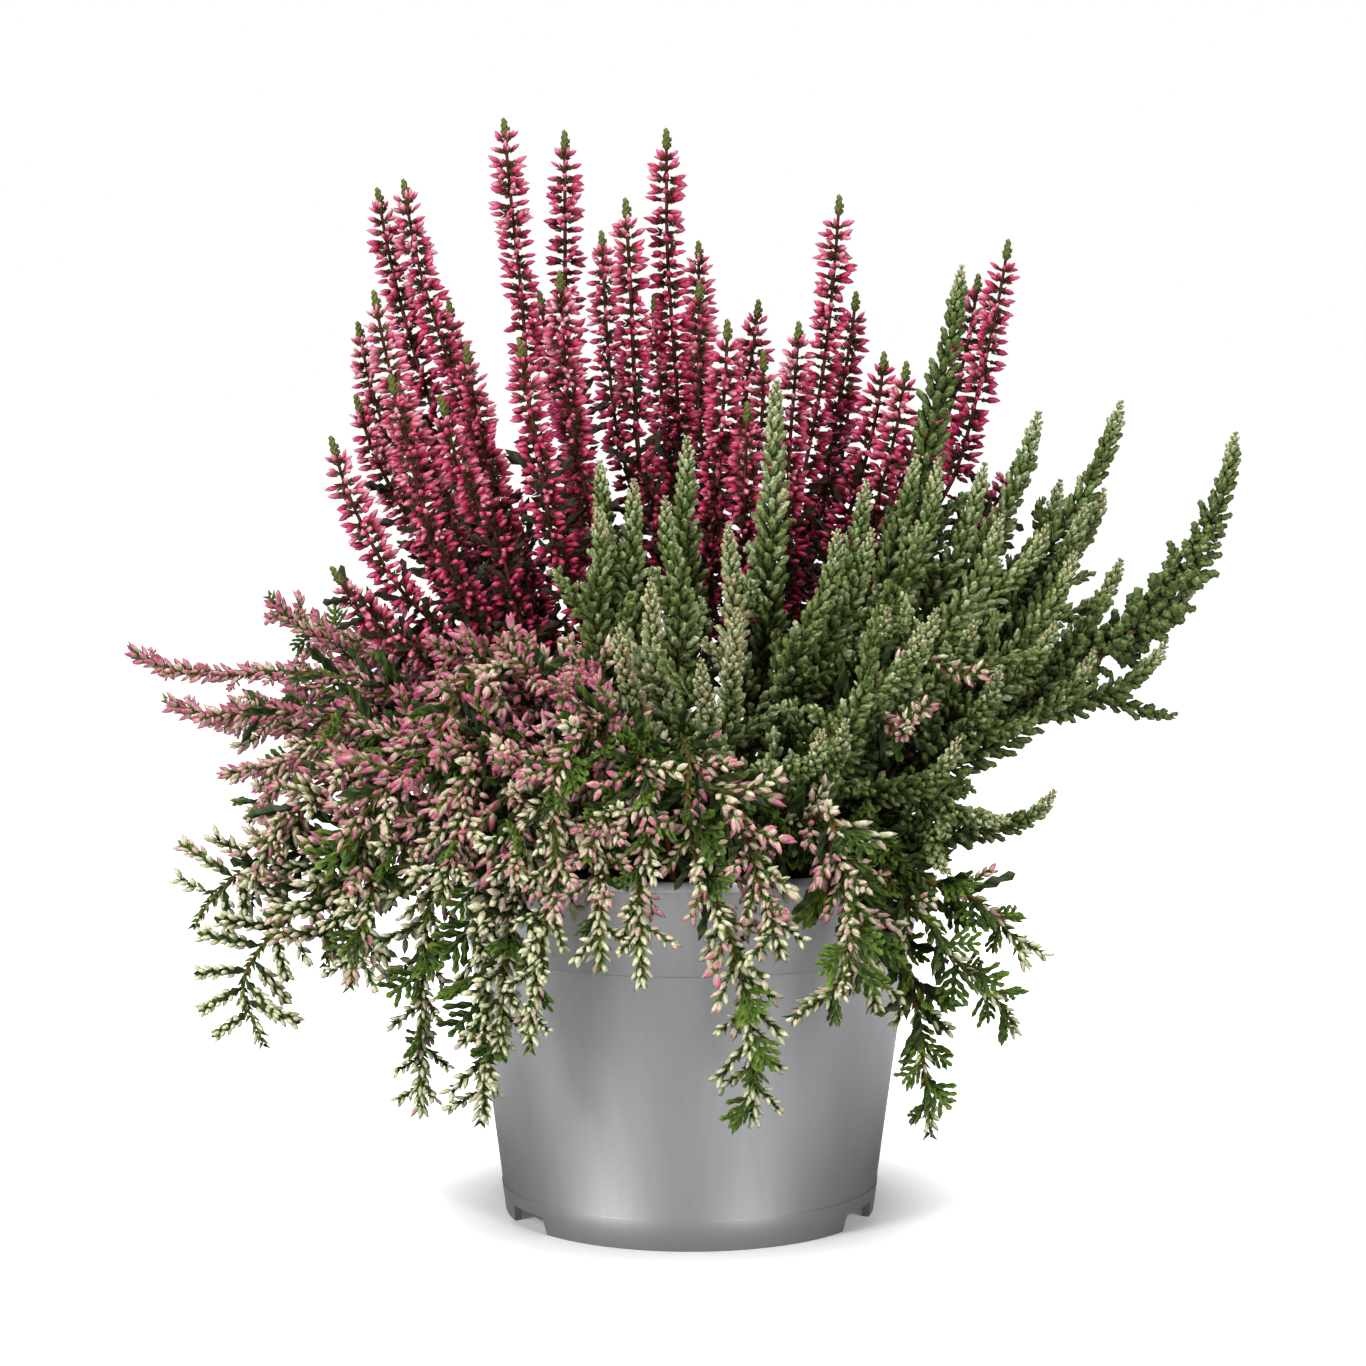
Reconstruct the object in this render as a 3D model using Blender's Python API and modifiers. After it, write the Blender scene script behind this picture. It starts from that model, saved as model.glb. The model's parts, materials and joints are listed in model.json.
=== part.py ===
"""Potted heather: three heathers of different colours grown together in one plain nursery pot.

The pot is a turned shell with a raised, drained floor on a notched foot ring. Its peat is one
root ball with a plain hole for every stem. Each stem is one solid with its side shoots: a slim
four-sided core whose alternate corners are drawn out, ring by ring, into the buds or leaf tufts
that it carries. Stems are moved apart until they clear each other and the pot.
Blender 4.5, metres, +Z up, origin at the middle of the pot's base.
"""

import math
import random
from dataclasses import dataclass, field

import bmesh
import bpy
import numpy as np
from mathutils import Matrix, Vector

MM = 0.001
GAP = 0.3 * MM
TINY = 1e-6
WELD = 0.00001
UP = np.array([0.0, 0.0, 1.0])

# Pot, a thin tapered shell
POT_HEIGHT = 107 * MM
RIM_RADIUS = 70 * MM
FOOT_RADIUS = 54.5 * MM
WALL = 1.3 * MM
LIP_HEIGHT = 3 * MM
LIP_STEP = 0.9 * MM
BAND_BOTTOM = 80 * MM
BAND_STEP = 0.6 * MM
FOOT_RING_TOP = 9 * MM
FOOT_RING_STEP = 0.3 * MM
FOOT_WALL = 2.2 * MM
FLOOR_Z = 6.5 * MM
FLOOR_TOP = 8 * MM
TURN_STEPS = 36

# Notches in the foot ring and drain holes in the floor
NOTCH_HEIGHT = 5 * MM
NOTCH_DEPTH = 9 * MM
NOTCH_WIDTH_LOW = 22 * MM
NOTCH_WIDTH_HIGH = 17 * MM
NOTCH_AZIMUTHS = (-59, 64, 180)
DRAIN_RADIUS = 4 * MM
DRAIN_RING = 32 * MM
DRAIN_COUNT = 6
DRAIN_SIDES = 8

# Peat
PEAT_TOP = POT_HEIGHT - 11 * MM
HOLE_RADIUS = 3.0 * MM
HOLE_DEPTH = 8 * MM
HOLE_SIDES = 4

# Places of the stems in the peat
ROOT_SHARE = 0.36
ROOT_REACH = 50 * MM
ROOT_SPACING = 9.5 * MM
ROOT_ROUNDS = 200

# Ways of the shoots
POINTS_ON_AXIS = 26
COLLAR = 3 * MM
COLLAR_LEAN = 0.25
HANGING_BELOW = 128 * MM
DROOP_RANGE = 45 * MM
CREST_Z = (136 * MM, 164 * MM)
CREST_REACH = (52 * MM, 80 * MM)
CREST_SHARE = (0.55, 0.70)
CREST_OVER_TIP = 10 * MM
CREST_SWING = 0.14
FORK_SCATTER = 0.06
FORK_LEAN = 0.5
SPIKE_LEAN = 0.6
SPRAY_LEAN = 0.5
SEED = 11

# Clearing of the shoots from each other and from the pot
SPREAD_ROUNDS = 70
PAIRS_EVERY = 10
PAIR_RANGE = 30 * MM
CLEARANCE = 0.8 * MM
PUSH = 0.35
MOST_MOVE = 4 * MM
HELD_SHARE = 0.08
LOOSE_BY = 0.25
TIP_HOLD = 0.55
PAST_FORK = 0.14
PAST_FOOT = 0.30
RIM_CLEAR = 4.5 * MM
RIM_BELOW = 2 * MM
WALL_CLEAR = 2 * MM
WALL_ZONE = 6 * MM

# Form of the shoots
SIDES = 4
RING_TWIST = math.radians(31)
SIDE_BARE = 0.2
SIDE_FOOT = 0.6
SWELL_SHARE = 0.18
TAPER_POWER = 1.6
CORE_OF_REACH = 0.62
LEAST_RADIUS = 0.5 * MM
ROOM_WINDOW = 5 * MM
LEAFY_REACH = 2.4 * MM
LEAFY_SWEEP = 0.4


@dataclass
class Kind:
    """How one heather grows: radii in metres, the rest as shares of a shoot's length."""

    root: float
    under_buds: float
    at_tip: float
    reach: float
    sweep: float
    bare: float
    fork: float
    blunt: float
    leafy_tip: float
    colour: tuple
    rings: tuple = (14, 12)


@dataclass
class Shoot:
    """One shoot of a stem: the main one, or a side one that leaves the main one at fork."""

    stem: int
    kind: Kind
    fork: float
    axis: np.ndarray
    room: np.ndarray = field(default=None)

    def is_main(self):
        return self.fork == 0.0


KINDS = {
    "crimson_spike": Kind(
        root=1.3 * MM, under_buds=1.1 * MM, at_tip=0.8 * MM, reach=7.2 * MM, sweep=2.4 * MM,
        bare=0.40, fork=0.40, blunt=0.75, leafy_tip=13 * MM, colour=(0.55, 0.06, 0.17, 1.0),
    ),
    "grey_green_stem": Kind(
        root=1.4 * MM, under_buds=2.6 * MM, at_tip=1.2 * MM, reach=6.3 * MM, sweep=2.8 * MM,
        bare=0.28, fork=0.42, blunt=0.45, leafy_tip=0.0, colour=(0.19, 0.28, 0.14, 1.0),
    ),
    "pink_white_spray": Kind(
        root=1.3 * MM, under_buds=1.8 * MM, at_tip=0.9 * MM, reach=6.6 * MM, sweep=4.0 * MM,
        bare=0.30, fork=0.45, blunt=0.60, leafy_tip=4 * MM, colour=(0.62, 0.38, 0.42, 1.0), rings=(14, 11),
    ),
}

# Tips of every stem and of its side shoots, in millimetres from the middle of the pot's base,
# the main tip first. A main shoot with a way of its own is a list of points down to its tip.
STEMS = {
    "crimson_spike": [
        [(-56, 42, 323), (-38, 50, 320)],
        [(-7, 30, 319), (-19, 22, 298)],
        [(-88, 62, 306), (-97, 72, 304)],
        [(46, 58, 301), (52, 72, 272)],
        [(97, 48, 287), (89, 60, 277), (100, 40, 222)],
        [(-94, 25, 271), (-88, 12, 246)],
        [(-38, 5, 276), (-49, -8, 256)],
        [(3, 60, 275), (-11, 72, 271)],
        [(-105, 88, 263), (-102, 50, 240)],
        [(33, 38, 262), (22, 25, 253)],
        [(11, 8, 262), (16, 0, 238)],
        [(-67, 30, 255), (-73, 8, 240)],
        [(65, 30, 250), (59, 42, 253)],
        [(-105, 5, 228), (-103, -12, 191)],
        [(-28, 98, 292), (-48, 102, 273), (-36, 96, 206)],
        [(3, 104, 289), (22, 92, 270), (8, 90, 214)],
        [(-77, 100, 270), (-94, 104, 245), (-72, 88, 196)],
        [(52, 102, 245), (73, 90, 232), (56, 84, 190)],
    ],
    "grey_green_stem": [
        [(25, -8, 244), (11, -22, 203)],
        [(81, 25, 278), (67, 12, 222)],
        [(103, 14, 235), (104, -2, 202)],
        [(127, 12, 238), (116, 2, 208), (124, 24, 212)],
        [[(86, 0, 146), (126, 0, 164), (150, 0, 198), (159, 0, 229)], (138, -8, 169), (149, 8, 187)],
        [(86, 0, 220), (72, -8, 222)],
        [(89, -22, 206), (80, -42, 177)],
        [(-1, -5, 228), (-7, -18, 211)],
        [(-26, -12, 221), (-26, -28, 208), (-16, -22, 216)],
        [(-11, -45, 189), (-20, -58, 176)],
        [(13, -50, 181), (3, -66, 168)],
        [(42, -30, 202), (52, -22, 202)],
        [(52, 8, 215), (56, -35, 180)],
        [(111, -14, 195), (104, -30, 176)],
        [(68, -55, 181), (63, -68, 178)],
        [(116, -20, 167), (86, -52, 165)],
        [(42, -82, 153), (35, -90, 151)],
        [(102, -48, 130), (70, -80, 111)],
        [(73, -72, 147), (88, -62, 123)],
        [(134, 60, 189), (117, 78, 213), (112, 70, 146)],
        [(100, 95, 187), (68, 102, 173), (44, 96, 196)],
    ],
    "pink_white_spray": [
        [[(-70, -4, 150), (-110, -8, 158), (-162, -10, 166)], (-151, -22, 153)],
        [(-122, -8, 182), (-135, 5, 149)],
        [(-134, -25, 132), (-125, -38, 103)],
        [
            [(-82, -30, 128), (-110, -36, 97), (-127, -40, 74), (-121, -40, 56)],
            (-142, -28, 88),
            (-102, -52, 80),
        ],
        [(-75, -62, 42), (-94, -66, 77)],
        [(-57, -78, 42), (-51, -88, 62)],
        [(-43, -96, 66), (-24, -100, 88)],
        [(-13, -104, 85), (-27, -98, 117)],
        [[(-4, -72, 146), (6, -94, 116), (14, -98, 84), (17, -92, 46)], (24, -104, 92)],
        [[(32, -74, 132), (42, -92, 104), (40, -98, 84), (27, -96, 74)], (50, -86, 75)],
        [[(48, -54, 122), (66, -70, 92), (89, -70, 66)], (66, -70, 37), (92, -66, 84)],
        [(82, -62, 166), (65, -78, 158)],
        [(-73, -38, 171), (-53, -48, 172)],
        [(-35, -70, 157), (-51, -84, 142)],
        [(-104, -45, 135), (-86, -62, 115)],
        [(-68, -82, 104), (-45, -94, 111)],
        [(-151, 50, 140), (-139, 70, 106), (-118, 62, 172)],
        [(-78, 96, 108), (-42, 103, 88), (-20, 84, 160)],
        [(36, 104, 81), (85, 98, 109), (20, 88, 138)],
    ],
}


def clear_scene():
    for obj in list(bpy.data.objects):
        bpy.data.objects.remove(obj, do_unlink=True)


def new_collection(name):
    made = bpy.data.collections.new(name)
    bpy.context.scene.collection.children.link(made)
    return made


def material(name, colour, roughness):
    made = bpy.data.materials.new(name)
    made.use_nodes = True
    shader = made.node_tree.nodes["Principled BSDF"]
    shader.inputs["Base Color"].default_value = colour
    shader.inputs["Roughness"].default_value = roughness
    return made


def object_from_bmesh(name, bm, holder):
    mesh = bpy.data.meshes.new(name)
    bm.to_mesh(mesh)
    bm.free()
    obj = bpy.data.objects.new(name, mesh)
    holder.objects.link(obj)
    return obj


def hide_cutter(obj):
    obj.hide_render = True
    obj.display_type = "WIRE"


def turned(name, profile, holder, finish):
    """A profile of (radius, height) pairs turned about Z by a Screw modifier."""
    bm = bmesh.new()
    corners = [bm.verts.new((radius, 0.0, height)) for radius, height in profile]
    for first, second in zip(corners, corners[1:]):
        bm.edges.new((first, second))
    obj = object_from_bmesh(name, bm, holder)
    obj.data.materials.append(finish)
    screw = obj.modifiers.new("turn", "SCREW")
    screw.steps = TURN_STEPS
    screw.render_steps = TURN_STEPS
    screw.use_merge_vertices = True
    screw.merge_threshold = WELD
    return obj


def cut_with(obj, cutters):
    boolean = obj.modifiers.new("cut", "BOOLEAN")
    boolean.operation = "DIFFERENCE"
    boolean.operand_type = "COLLECTION"
    boolean.collection = cutters


# Pot and peat


def wall_radius(z):
    """Outer radius of the pot's tapered wall at this height."""
    return FOOT_RADIUS + (RIM_RADIUS - LIP_STEP - FOOT_RADIUS) * z / POT_HEIGHT


def inner_radius(z):
    """Radius of the pot's inner wall, straight from the floor to the rim."""
    low = wall_radius(FLOOR_Z) - WALL
    high = RIM_RADIUS - LIP_STEP - WALL
    return low + (high - low) * (z - FLOOR_TOP) / (POT_HEIGHT - FLOOR_TOP)


def make_pot(holder, finish):
    """The shell: floor, inner wall, lip, band, tapered wall and foot ring in one profile."""
    profile = [
        (0.0, FLOOR_TOP),
        (inner_radius(FLOOR_TOP), FLOOR_TOP),
        (inner_radius(POT_HEIGHT), POT_HEIGHT),
        (RIM_RADIUS, POT_HEIGHT),
        (RIM_RADIUS, POT_HEIGHT - LIP_HEIGHT),
        (RIM_RADIUS - LIP_STEP, POT_HEIGHT - LIP_HEIGHT),
        (wall_radius(BAND_BOTTOM), BAND_BOTTOM),
        (wall_radius(BAND_BOTTOM) - BAND_STEP, BAND_BOTTOM),
        (wall_radius(FOOT_RING_TOP) - FOOT_RING_STEP, FOOT_RING_TOP),
        (wall_radius(FOOT_RING_TOP), FOOT_RING_TOP),
        (FOOT_RADIUS, 0.0),
        (FOOT_RADIUS - FOOT_WALL, 0.0),
        (FOOT_RADIUS - FOOT_WALL, FLOOR_Z),
        (0.0, FLOOR_Z),
    ]
    pot = turned("pot", profile, holder, finish)
    cutters = new_collection("pot_cutters")
    for azimuth in NOTCH_AZIMUTHS:
        add_notch_cutter(math.radians(azimuth), cutters)
    for index in range(DRAIN_COUNT):
        add_drain_cutter(2 * math.pi * index / DRAIN_COUNT, cutters)
    cut_with(pot, cutters)


def add_notch_cutter(azimuth, cutters):
    """A block through the foot ring, narrower at its top, facing this azimuth from the front."""
    bm = bmesh.new()
    bmesh.ops.create_cube(bm, size=1.0)
    for vert in bm.verts:
        high = vert.co.z > 0
        vert.co.x *= NOTCH_WIDTH_HIGH if high else NOTCH_WIDTH_LOW
        vert.co.y = vert.co.y * NOTCH_DEPTH - FOOT_RADIUS
        vert.co.z = NOTCH_HEIGHT if high else -NOTCH_HEIGHT
    bmesh.ops.rotate(bm, verts=bm.verts, matrix=Matrix.Rotation(azimuth, 3, "Z"))
    hide_cutter(object_from_bmesh("notch_cutter", bm, cutters))


def add_drain_cutter(azimuth, cutters):
    bm = bmesh.new()
    x, y = DRAIN_RING * math.cos(azimuth), DRAIN_RING * math.sin(azimuth)
    bmesh.ops.create_cone(
        bm, cap_ends=True, segments=DRAIN_SIDES, radius1=DRAIN_RADIUS, radius2=DRAIN_RADIUS,
        depth=4 * (FLOOR_TOP - FLOOR_Z), matrix=Matrix.Translation((x, y, FLOOR_Z)),
    )
    hide_cutter(object_from_bmesh("drain_cutter", bm, cutters))


def make_peat(holder, finish, roots):
    """The root ball, clear of the pot all round, with a blind hole for every stem."""
    bottom = FLOOR_TOP + GAP
    profile = [
        (0.0, PEAT_TOP),
        (inner_radius(PEAT_TOP) - GAP, PEAT_TOP),
        (inner_radius(bottom) - GAP, bottom),
        (0.0, bottom),
    ]
    peat = turned("peat", profile, holder, finish)
    cutters = new_collection("peat_cutters")
    for x, y in roots:
        bm = bmesh.new()
        bmesh.ops.create_cone(
            bm, cap_ends=True, segments=HOLE_SIDES, radius1=HOLE_RADIUS, radius2=HOLE_RADIUS,
            depth=2 * HOLE_DEPTH, matrix=Matrix.Translation((x, y, PEAT_TOP)),
        )
        hide_cutter(object_from_bmesh("stem_hole", bm, cutters))
    cut_with(peat, cutters)


# Layout of the stems


def stem_list():
    """Every stem as (kind's name, ways in metres), where a way ends at its tip."""
    found = []
    for name, stems in STEMS.items():
        for ways in stems:
            found.append((name, [np.atleast_2d(np.array(way, float)) * MM for way in ways]))
    return found


def root_places(stems):
    """Where each stem comes out of the peat: towards its own tips, and evenly spaced."""
    roots = np.array([
        np.mean([way[-1] for way in ways], axis=0)[:2] * ROOT_SHARE for _, ways in stems
    ])
    for _ in range(ROOT_ROUNDS):
        apart = roots[:, None] - roots[None]
        distance = np.linalg.norm(apart, axis=2)
        np.fill_diagonal(distance, 1.0)
        short = np.clip(ROOT_SPACING - distance, 0.0, None) / distance
        roots += PUSH * (apart * short[:, :, None]).sum(axis=1)
        reach = np.maximum(np.linalg.norm(roots, axis=1), TINY)
        roots *= np.minimum(1.0, ROOT_REACH / reach)[:, None]
    return roots


def unit(vector):
    return vector / max(np.linalg.norm(vector), TINY)


def outward_of(point):
    """Level direction from the pot's axis to this point."""
    return unit(point * (1.0, 1.0, 0.0))


def resample(points, shares):
    """Points at these shares of a polyline's length."""
    steps = np.linalg.norm(np.diff(points, axis=0), axis=1)
    along = np.concatenate([[0.0], np.cumsum(steps)])
    wanted = np.asarray(shares) * along[-1]
    return np.stack([np.interp(wanted, along, points[:, axis]) for axis in range(3)], axis=1)


def smooth_path(knots, headings):
    """Hermite curve through the knots along these headings, evenly spaced along its length."""
    t = np.linspace(0.0, 1.0, POINTS_ON_AXIS)[:, None]
    pieces = []
    for a, b, u, v in zip(knots, knots[1:], headings, headings[1:]):
        chord = np.linalg.norm(b - a)
        pieces.append(
            (2 * t**3 - 3 * t**2 + 1) * a + (t**3 - 2 * t**2 + t) * chord * unit(u)
            + (3 * t**2 - 2 * t**3) * b + (t**3 - t**2) * chord * unit(v)
        )
    dense = np.concatenate([piece[:-1] for piece in pieces] + [pieces[-1][-1:]])
    return resample(dense, np.linspace(0.0, 1.0, POINTS_ON_AXIS))


def tip_heading(name, tip, towards):
    """Spikes and leafy stems end upright. Sprays end level when high and hang when low."""
    if name != "pink_white_spray" and tip[2] > HANGING_BELOW:
        return SPIKE_LEAN * towards + UP
    droop = np.clip((tip[2] - HANGING_BELOW) / DROOP_RANGE, -1.0, 0.5)
    outward = outward_of(tip) * (1.0 - abs(droop))
    return SPRAY_LEAN * (towards + outward) + UP * droop


def crest_of(tip, draw):
    """Highest point of an arching shoot, on its way over the rim to the tip."""
    swing = Matrix.Rotation(draw.uniform(-CREST_SWING, CREST_SWING), 3, "Z")
    reach = math.hypot(tip[0], tip[1]) * draw.uniform(*CREST_SHARE)
    crest = np.array(swing @ Vector(outward_of(tip))) * np.clip(reach, *CREST_REACH)
    crest[2] = np.clip(tip[2] + CREST_OVER_TIP, draw.uniform(*CREST_Z), CREST_Z[1])
    return crest


def main_axis(name, root, way, draw):
    """From the peat to the tip: straight up and out, along its own way, or over a crest."""
    tip = way[-1]
    start = np.array([root[0], root[1], PEAT_TOP - HOLE_DEPTH + 2 * GAP])
    collar = start + UP * (HOLE_DEPTH + COLLAR)
    outward = outward_of(tip)
    knots = [start, collar]
    headings = [UP, UP + COLLAR_LEAN * outward]
    if len(way) > 1:
        for before, point, after in zip([collar, *way], way, way[1:]):
            knots.append(point)
            headings.append(after - before)
    elif name == "pink_white_spray" or tip[2] < HANGING_BELOW:
        crest = crest_of(tip, draw)
        if crest[2] > tip[2] - CREST_OVER_TIP:
            knots.append(crest)
            headings.append(outward + COLLAR_LEAN * UP)
    headings.append(tip_heading(name, tip, unit(tip - knots[-1])))
    knots.append(tip)
    return smooth_path(knots, headings)


def side_axis(name, main, fork, tip):
    """From a fork on the main axis to the side shoot's own tip."""
    index = round(fork * (POINTS_ON_AXIS - 1))
    start = main[index]
    heading = unit(main[index + 1] - main[index - 1])
    towards = unit(tip - start)
    leaving = FORK_LEAN * heading + towards
    return smooth_path([start, tip], [leaving, tip_heading(name, tip, towards)])


def lay_out(stems, roots):
    """All shoots with their first axes, each main shoot followed by its side shoots."""
    draw = random.Random(SEED)
    shoots = []
    for index, (name, ways) in enumerate(stems):
        kind = KINDS[name]
        main = main_axis(name, roots[index], ways[0], draw)
        shoots.append(Shoot(index, kind, 0.0, main))
        for way in ways[1:]:
            fork = kind.fork + draw.uniform(-FORK_SCATTER, FORK_SCATTER)
            shoots.append(Shoot(index, kind, fork, side_axis(name, main, fork, way[-1])))
    return shoots


# Clearing of the stems


def bud_share(shoot, share):
    """Share along a whole stem that a share along this shoot counts as."""
    if shoot.is_main():
        return share
    foot = SIDE_FOOT * shoot.kind.bare
    return foot + share * (1.0 - foot)


def bud_reach(shoot, share):
    """Outer radius of a shoot at a share of its length, where nothing is in its way."""
    kind = shoot.kind
    within = (bud_share(shoot, share) - kind.bare) / (1.0 - kind.bare)
    if within <= 0.0:
        return kind.root
    swell = min(1.0, within / SWELL_SHARE)
    taper = 1.0 - (1.0 - kind.blunt) * within**TAPER_POWER
    return kind.root + (kind.reach - kind.root) * swell * taper


def stem_marks(shoots, shares):
    """What each point counts as when clearances are taken: its stem or, past a fork, its shoot."""
    forks = {}
    for shoot in shoots:
        forks[shoot.stem] = max(forks.get(shoot.stem, 0.0), shoot.fork)
    marks = []
    for place, shoot in enumerate(shoots):
        parted = forks[shoot.stem] + PAST_FORK if shoot.is_main() else PAST_FOOT
        marks.append(np.where(shares > parted, len(shoots) + place, shoot.stem))
    return np.concatenate(marks)


def near_pairs(points, marks):
    """Pairs of points of different shoots that are near enough to meet."""
    small = points.astype(np.float32)
    square = (small**2).sum(axis=1)
    distance = square[:, None] + square[None] - 2 * small @ small.T
    first, second = np.nonzero(distance < PAIR_RANGE**2)
    shoot = np.arange(len(points)) // POINTS_ON_AXIS
    keep = (shoot[first] < shoot[second]) & (marks[first] != marks[second])
    return first[keep], second[keep]


def pair_push(points, radii, first, second):
    """How far each point moves off the points of other shoots."""
    apart = points[first] - points[second]
    distance = np.maximum(np.linalg.norm(apart, axis=1), TINY)
    short = np.clip(radii[first] + radii[second] + CLEARANCE - distance, 0.0, None)
    push = apart * (PUSH * short / distance)[:, None]
    moved = np.stack([
        np.bincount(first, push[:, axis], len(points))
        - np.bincount(second, push[:, axis], len(points)) for axis in range(3)
    ], axis=1)
    return np.clip(moved, -MOST_MOVE, MOST_MOVE)


def pot_push(points, radii):
    """How far each point moves up and out off the rim, and out off the wall."""
    reach = np.maximum(np.linalg.norm(points[:, :2], axis=1), TINY)
    away = points * (1.0, 1.0, 0.0) / reach[:, None]
    from_rim = reach - RIM_RADIUS + WALL
    above_rim = points[:, 2] - POT_HEIGHT + RIM_BELOW
    distance = np.maximum(np.hypot(from_rim, above_rim), TINY)
    short = np.clip(radii + RIM_CLEAR - distance, 0.0, None) / distance
    short[above_rim < 0.0] = 0.0
    push = away * (np.clip(from_rim, 0.0, None) * short)[:, None]
    push[:, 2] += (above_rim + GAP) * short
    outside = (points[:, 2] < POT_HEIGHT) & (reach > RIM_RADIUS - WALL_ZONE)
    wall = wall_radius(points[:, 2]) + LIP_STEP + radii + WALL_CLEAR
    return push + away * (np.clip(wall - reach, 0.0, None) * outside)[:, None]


def soften(moves, times):
    """Evens out moves along each shoot, so that its axis stays smooth."""
    for _ in range(times):
        padded = np.concatenate([moves[:, :1], moves, moves[:, -1:]], axis=1)
        moves = 0.25 * padded[:, :-2] + 0.5 * padded[:, 1:-1] + 0.25 * padded[:, 2:]
    return moves


def join_forks(shoots, axes):
    """Carries the foot of each side shoot along with the main axis it grows from."""
    fade = np.clip(1.0 - np.linspace(0.0, 2.0, POINTS_ON_AXIS), 0.0, 1.0)[:, None]
    main = 0
    for place, shoot in enumerate(shoots):
        if shoot.is_main():
            main = place
            continue
        foot = axes[main, round(shoot.fork * (POINTS_ON_AXIS - 1))]
        axes[place] += (foot - axes[place, 0]) * fade


def spread(shoots):
    """Moves the axes apart until shoots clear each other and the pot. Roots stay."""
    shares = np.linspace(0.0, 1.0, POINTS_ON_AXIS)
    axes = np.array([shoot.axis for shoot in shoots])
    marks = stem_marks(shoots, shares)
    radii = np.array([bud_reach(shoot, share) for shoot in shoots for share in shares])
    loose = np.clip((shares - HELD_SHARE) / LOOSE_BY, 0.0, 1.0) * (1.0 - TIP_HOLD * shares**3)
    for turn in range(SPREAD_ROUNDS):
        points = axes.reshape(-1, 3)
        if turn % PAIRS_EVERY == 0:
            first, second = near_pairs(points, marks)
        off_others = pair_push(points, radii, first, second).reshape(axes.shape)
        off_pot = pot_push(points, radii).reshape(axes.shape)
        moved = soften(off_others, 3) + 0.5 * soften(off_pot, 1)
        axes = axes + moved * loose[None, :, None]
        join_forks(shoots, axes)
    for shoot, axis in zip(shoots, axes):
        shoot.axis = resample(axis, shares)


def pot_room(points):
    """Distance from each point to the pot's wall, inside or outside it."""
    reach = np.linalg.norm(points[:, :2], axis=1)
    room = np.full(len(points), POT_HEIGHT)
    for height in np.arange(0.0, POT_HEIGHT + MM, 2 * MM):
        outer = wall_radius(height) + LIP_STEP
        inner = wall_radius(height) - LIP_STEP - WALL
        gap = np.maximum(np.maximum(reach - outer, inner - reach), 0.0)
        room = np.minimum(room, np.hypot(gap, points[:, 2] - height))
    return room - 2 * GAP


def measure_room(shoots):
    """Half the distance along each axis to the nearest other stem, or that to the pot."""
    shares = np.linspace(0.0, 1.0, 4 * POINTS_ON_AXIS)
    clouds = [resample(shoot.axis, shares) for shoot in shoots]
    for shoot, cloud in zip(shoots, clouds):
        others = np.concatenate([
            other for near, other in zip(shoots, clouds) if near.stem != shoot.stem
        ])
        nearest = [np.sqrt(((others - point)**2).sum(axis=1).min()) for point in cloud]
        shoot.room = np.minimum(np.array(nearest) / 2 - GAP, pot_room(cloud))


# Solids of the stems


def ring_plan(shoot):
    """Share of the length, core radius, bud reach and bud sweep of each ring of a shoot."""
    kind = shoot.kind
    length = np.linalg.norm(np.diff(shoot.axis, axis=0), axis=1).sum()
    if shoot.is_main():
        collar = (HOLE_DEPTH + COLLAR) / length
        stalk = [0.0, collar, (collar + kind.bare) / 2]
        budded = np.linspace(kind.bare, 1.0, kind.rings[0] - len(stalk))
    else:
        stalk = [0.0, SIDE_BARE / 2]
        budded = np.linspace(SIDE_BARE, 1.0, kind.rings[1] - len(stalk))
    places = np.linspace(0.0, length, len(shoot.room))
    plan = []
    for share in (*stalk, *budded):
        near = np.abs(places - share * length) < ROOM_WINDOW
        room = max(shoot.room[near].min(), LEAST_RADIUS)
        if share in stalk:
            core = reach = min(kind.root, room)
        else:
            reach = min(bud_reach(shoot, share), room)
            core = np.interp(share, [0.0, 0.5, 1.0], [kind.root, kind.under_buds, kind.at_tip])
            core = min(core, CORE_OF_REACH * reach)
        sweep = kind.sweep
        if (1.0 - share) * length < kind.leafy_tip:
            reach = min(reach, LEAFY_REACH)
            core = min(core, CORE_OF_REACH * reach)
            sweep *= LEAFY_SWEEP
        plan.append((share, core, reach, sweep))
    return plan


def core_mesh(centres, plan, holder):
    """The plain four-sided tube along a shoot, turned a little from ring to ring."""
    curve = bpy.data.curves.new("core", "CURVE")
    curve.dimensions = "3D"
    curve.bevel_depth = 1.0
    curve.bevel_resolution = 0
    curve.use_fill_caps = True
    spline = curve.splines.new("POLY")
    spline.points.add(len(plan) - 1)
    for ring, (_, core, _, _) in enumerate(plan):
        spline.points[ring].co = (*centres[ring], 1.0)
        spline.points[ring].radius = core
        spline.points[ring].tilt = RING_TWIST * ring
    guide = bpy.data.objects.new("core", curve)
    holder.objects.link(guide)
    graph = bpy.context.evaluated_depsgraph_get()
    mesh = bpy.data.meshes.new_from_object(guide.evaluated_get(graph))
    bpy.data.objects.remove(guide)
    return mesh


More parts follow.
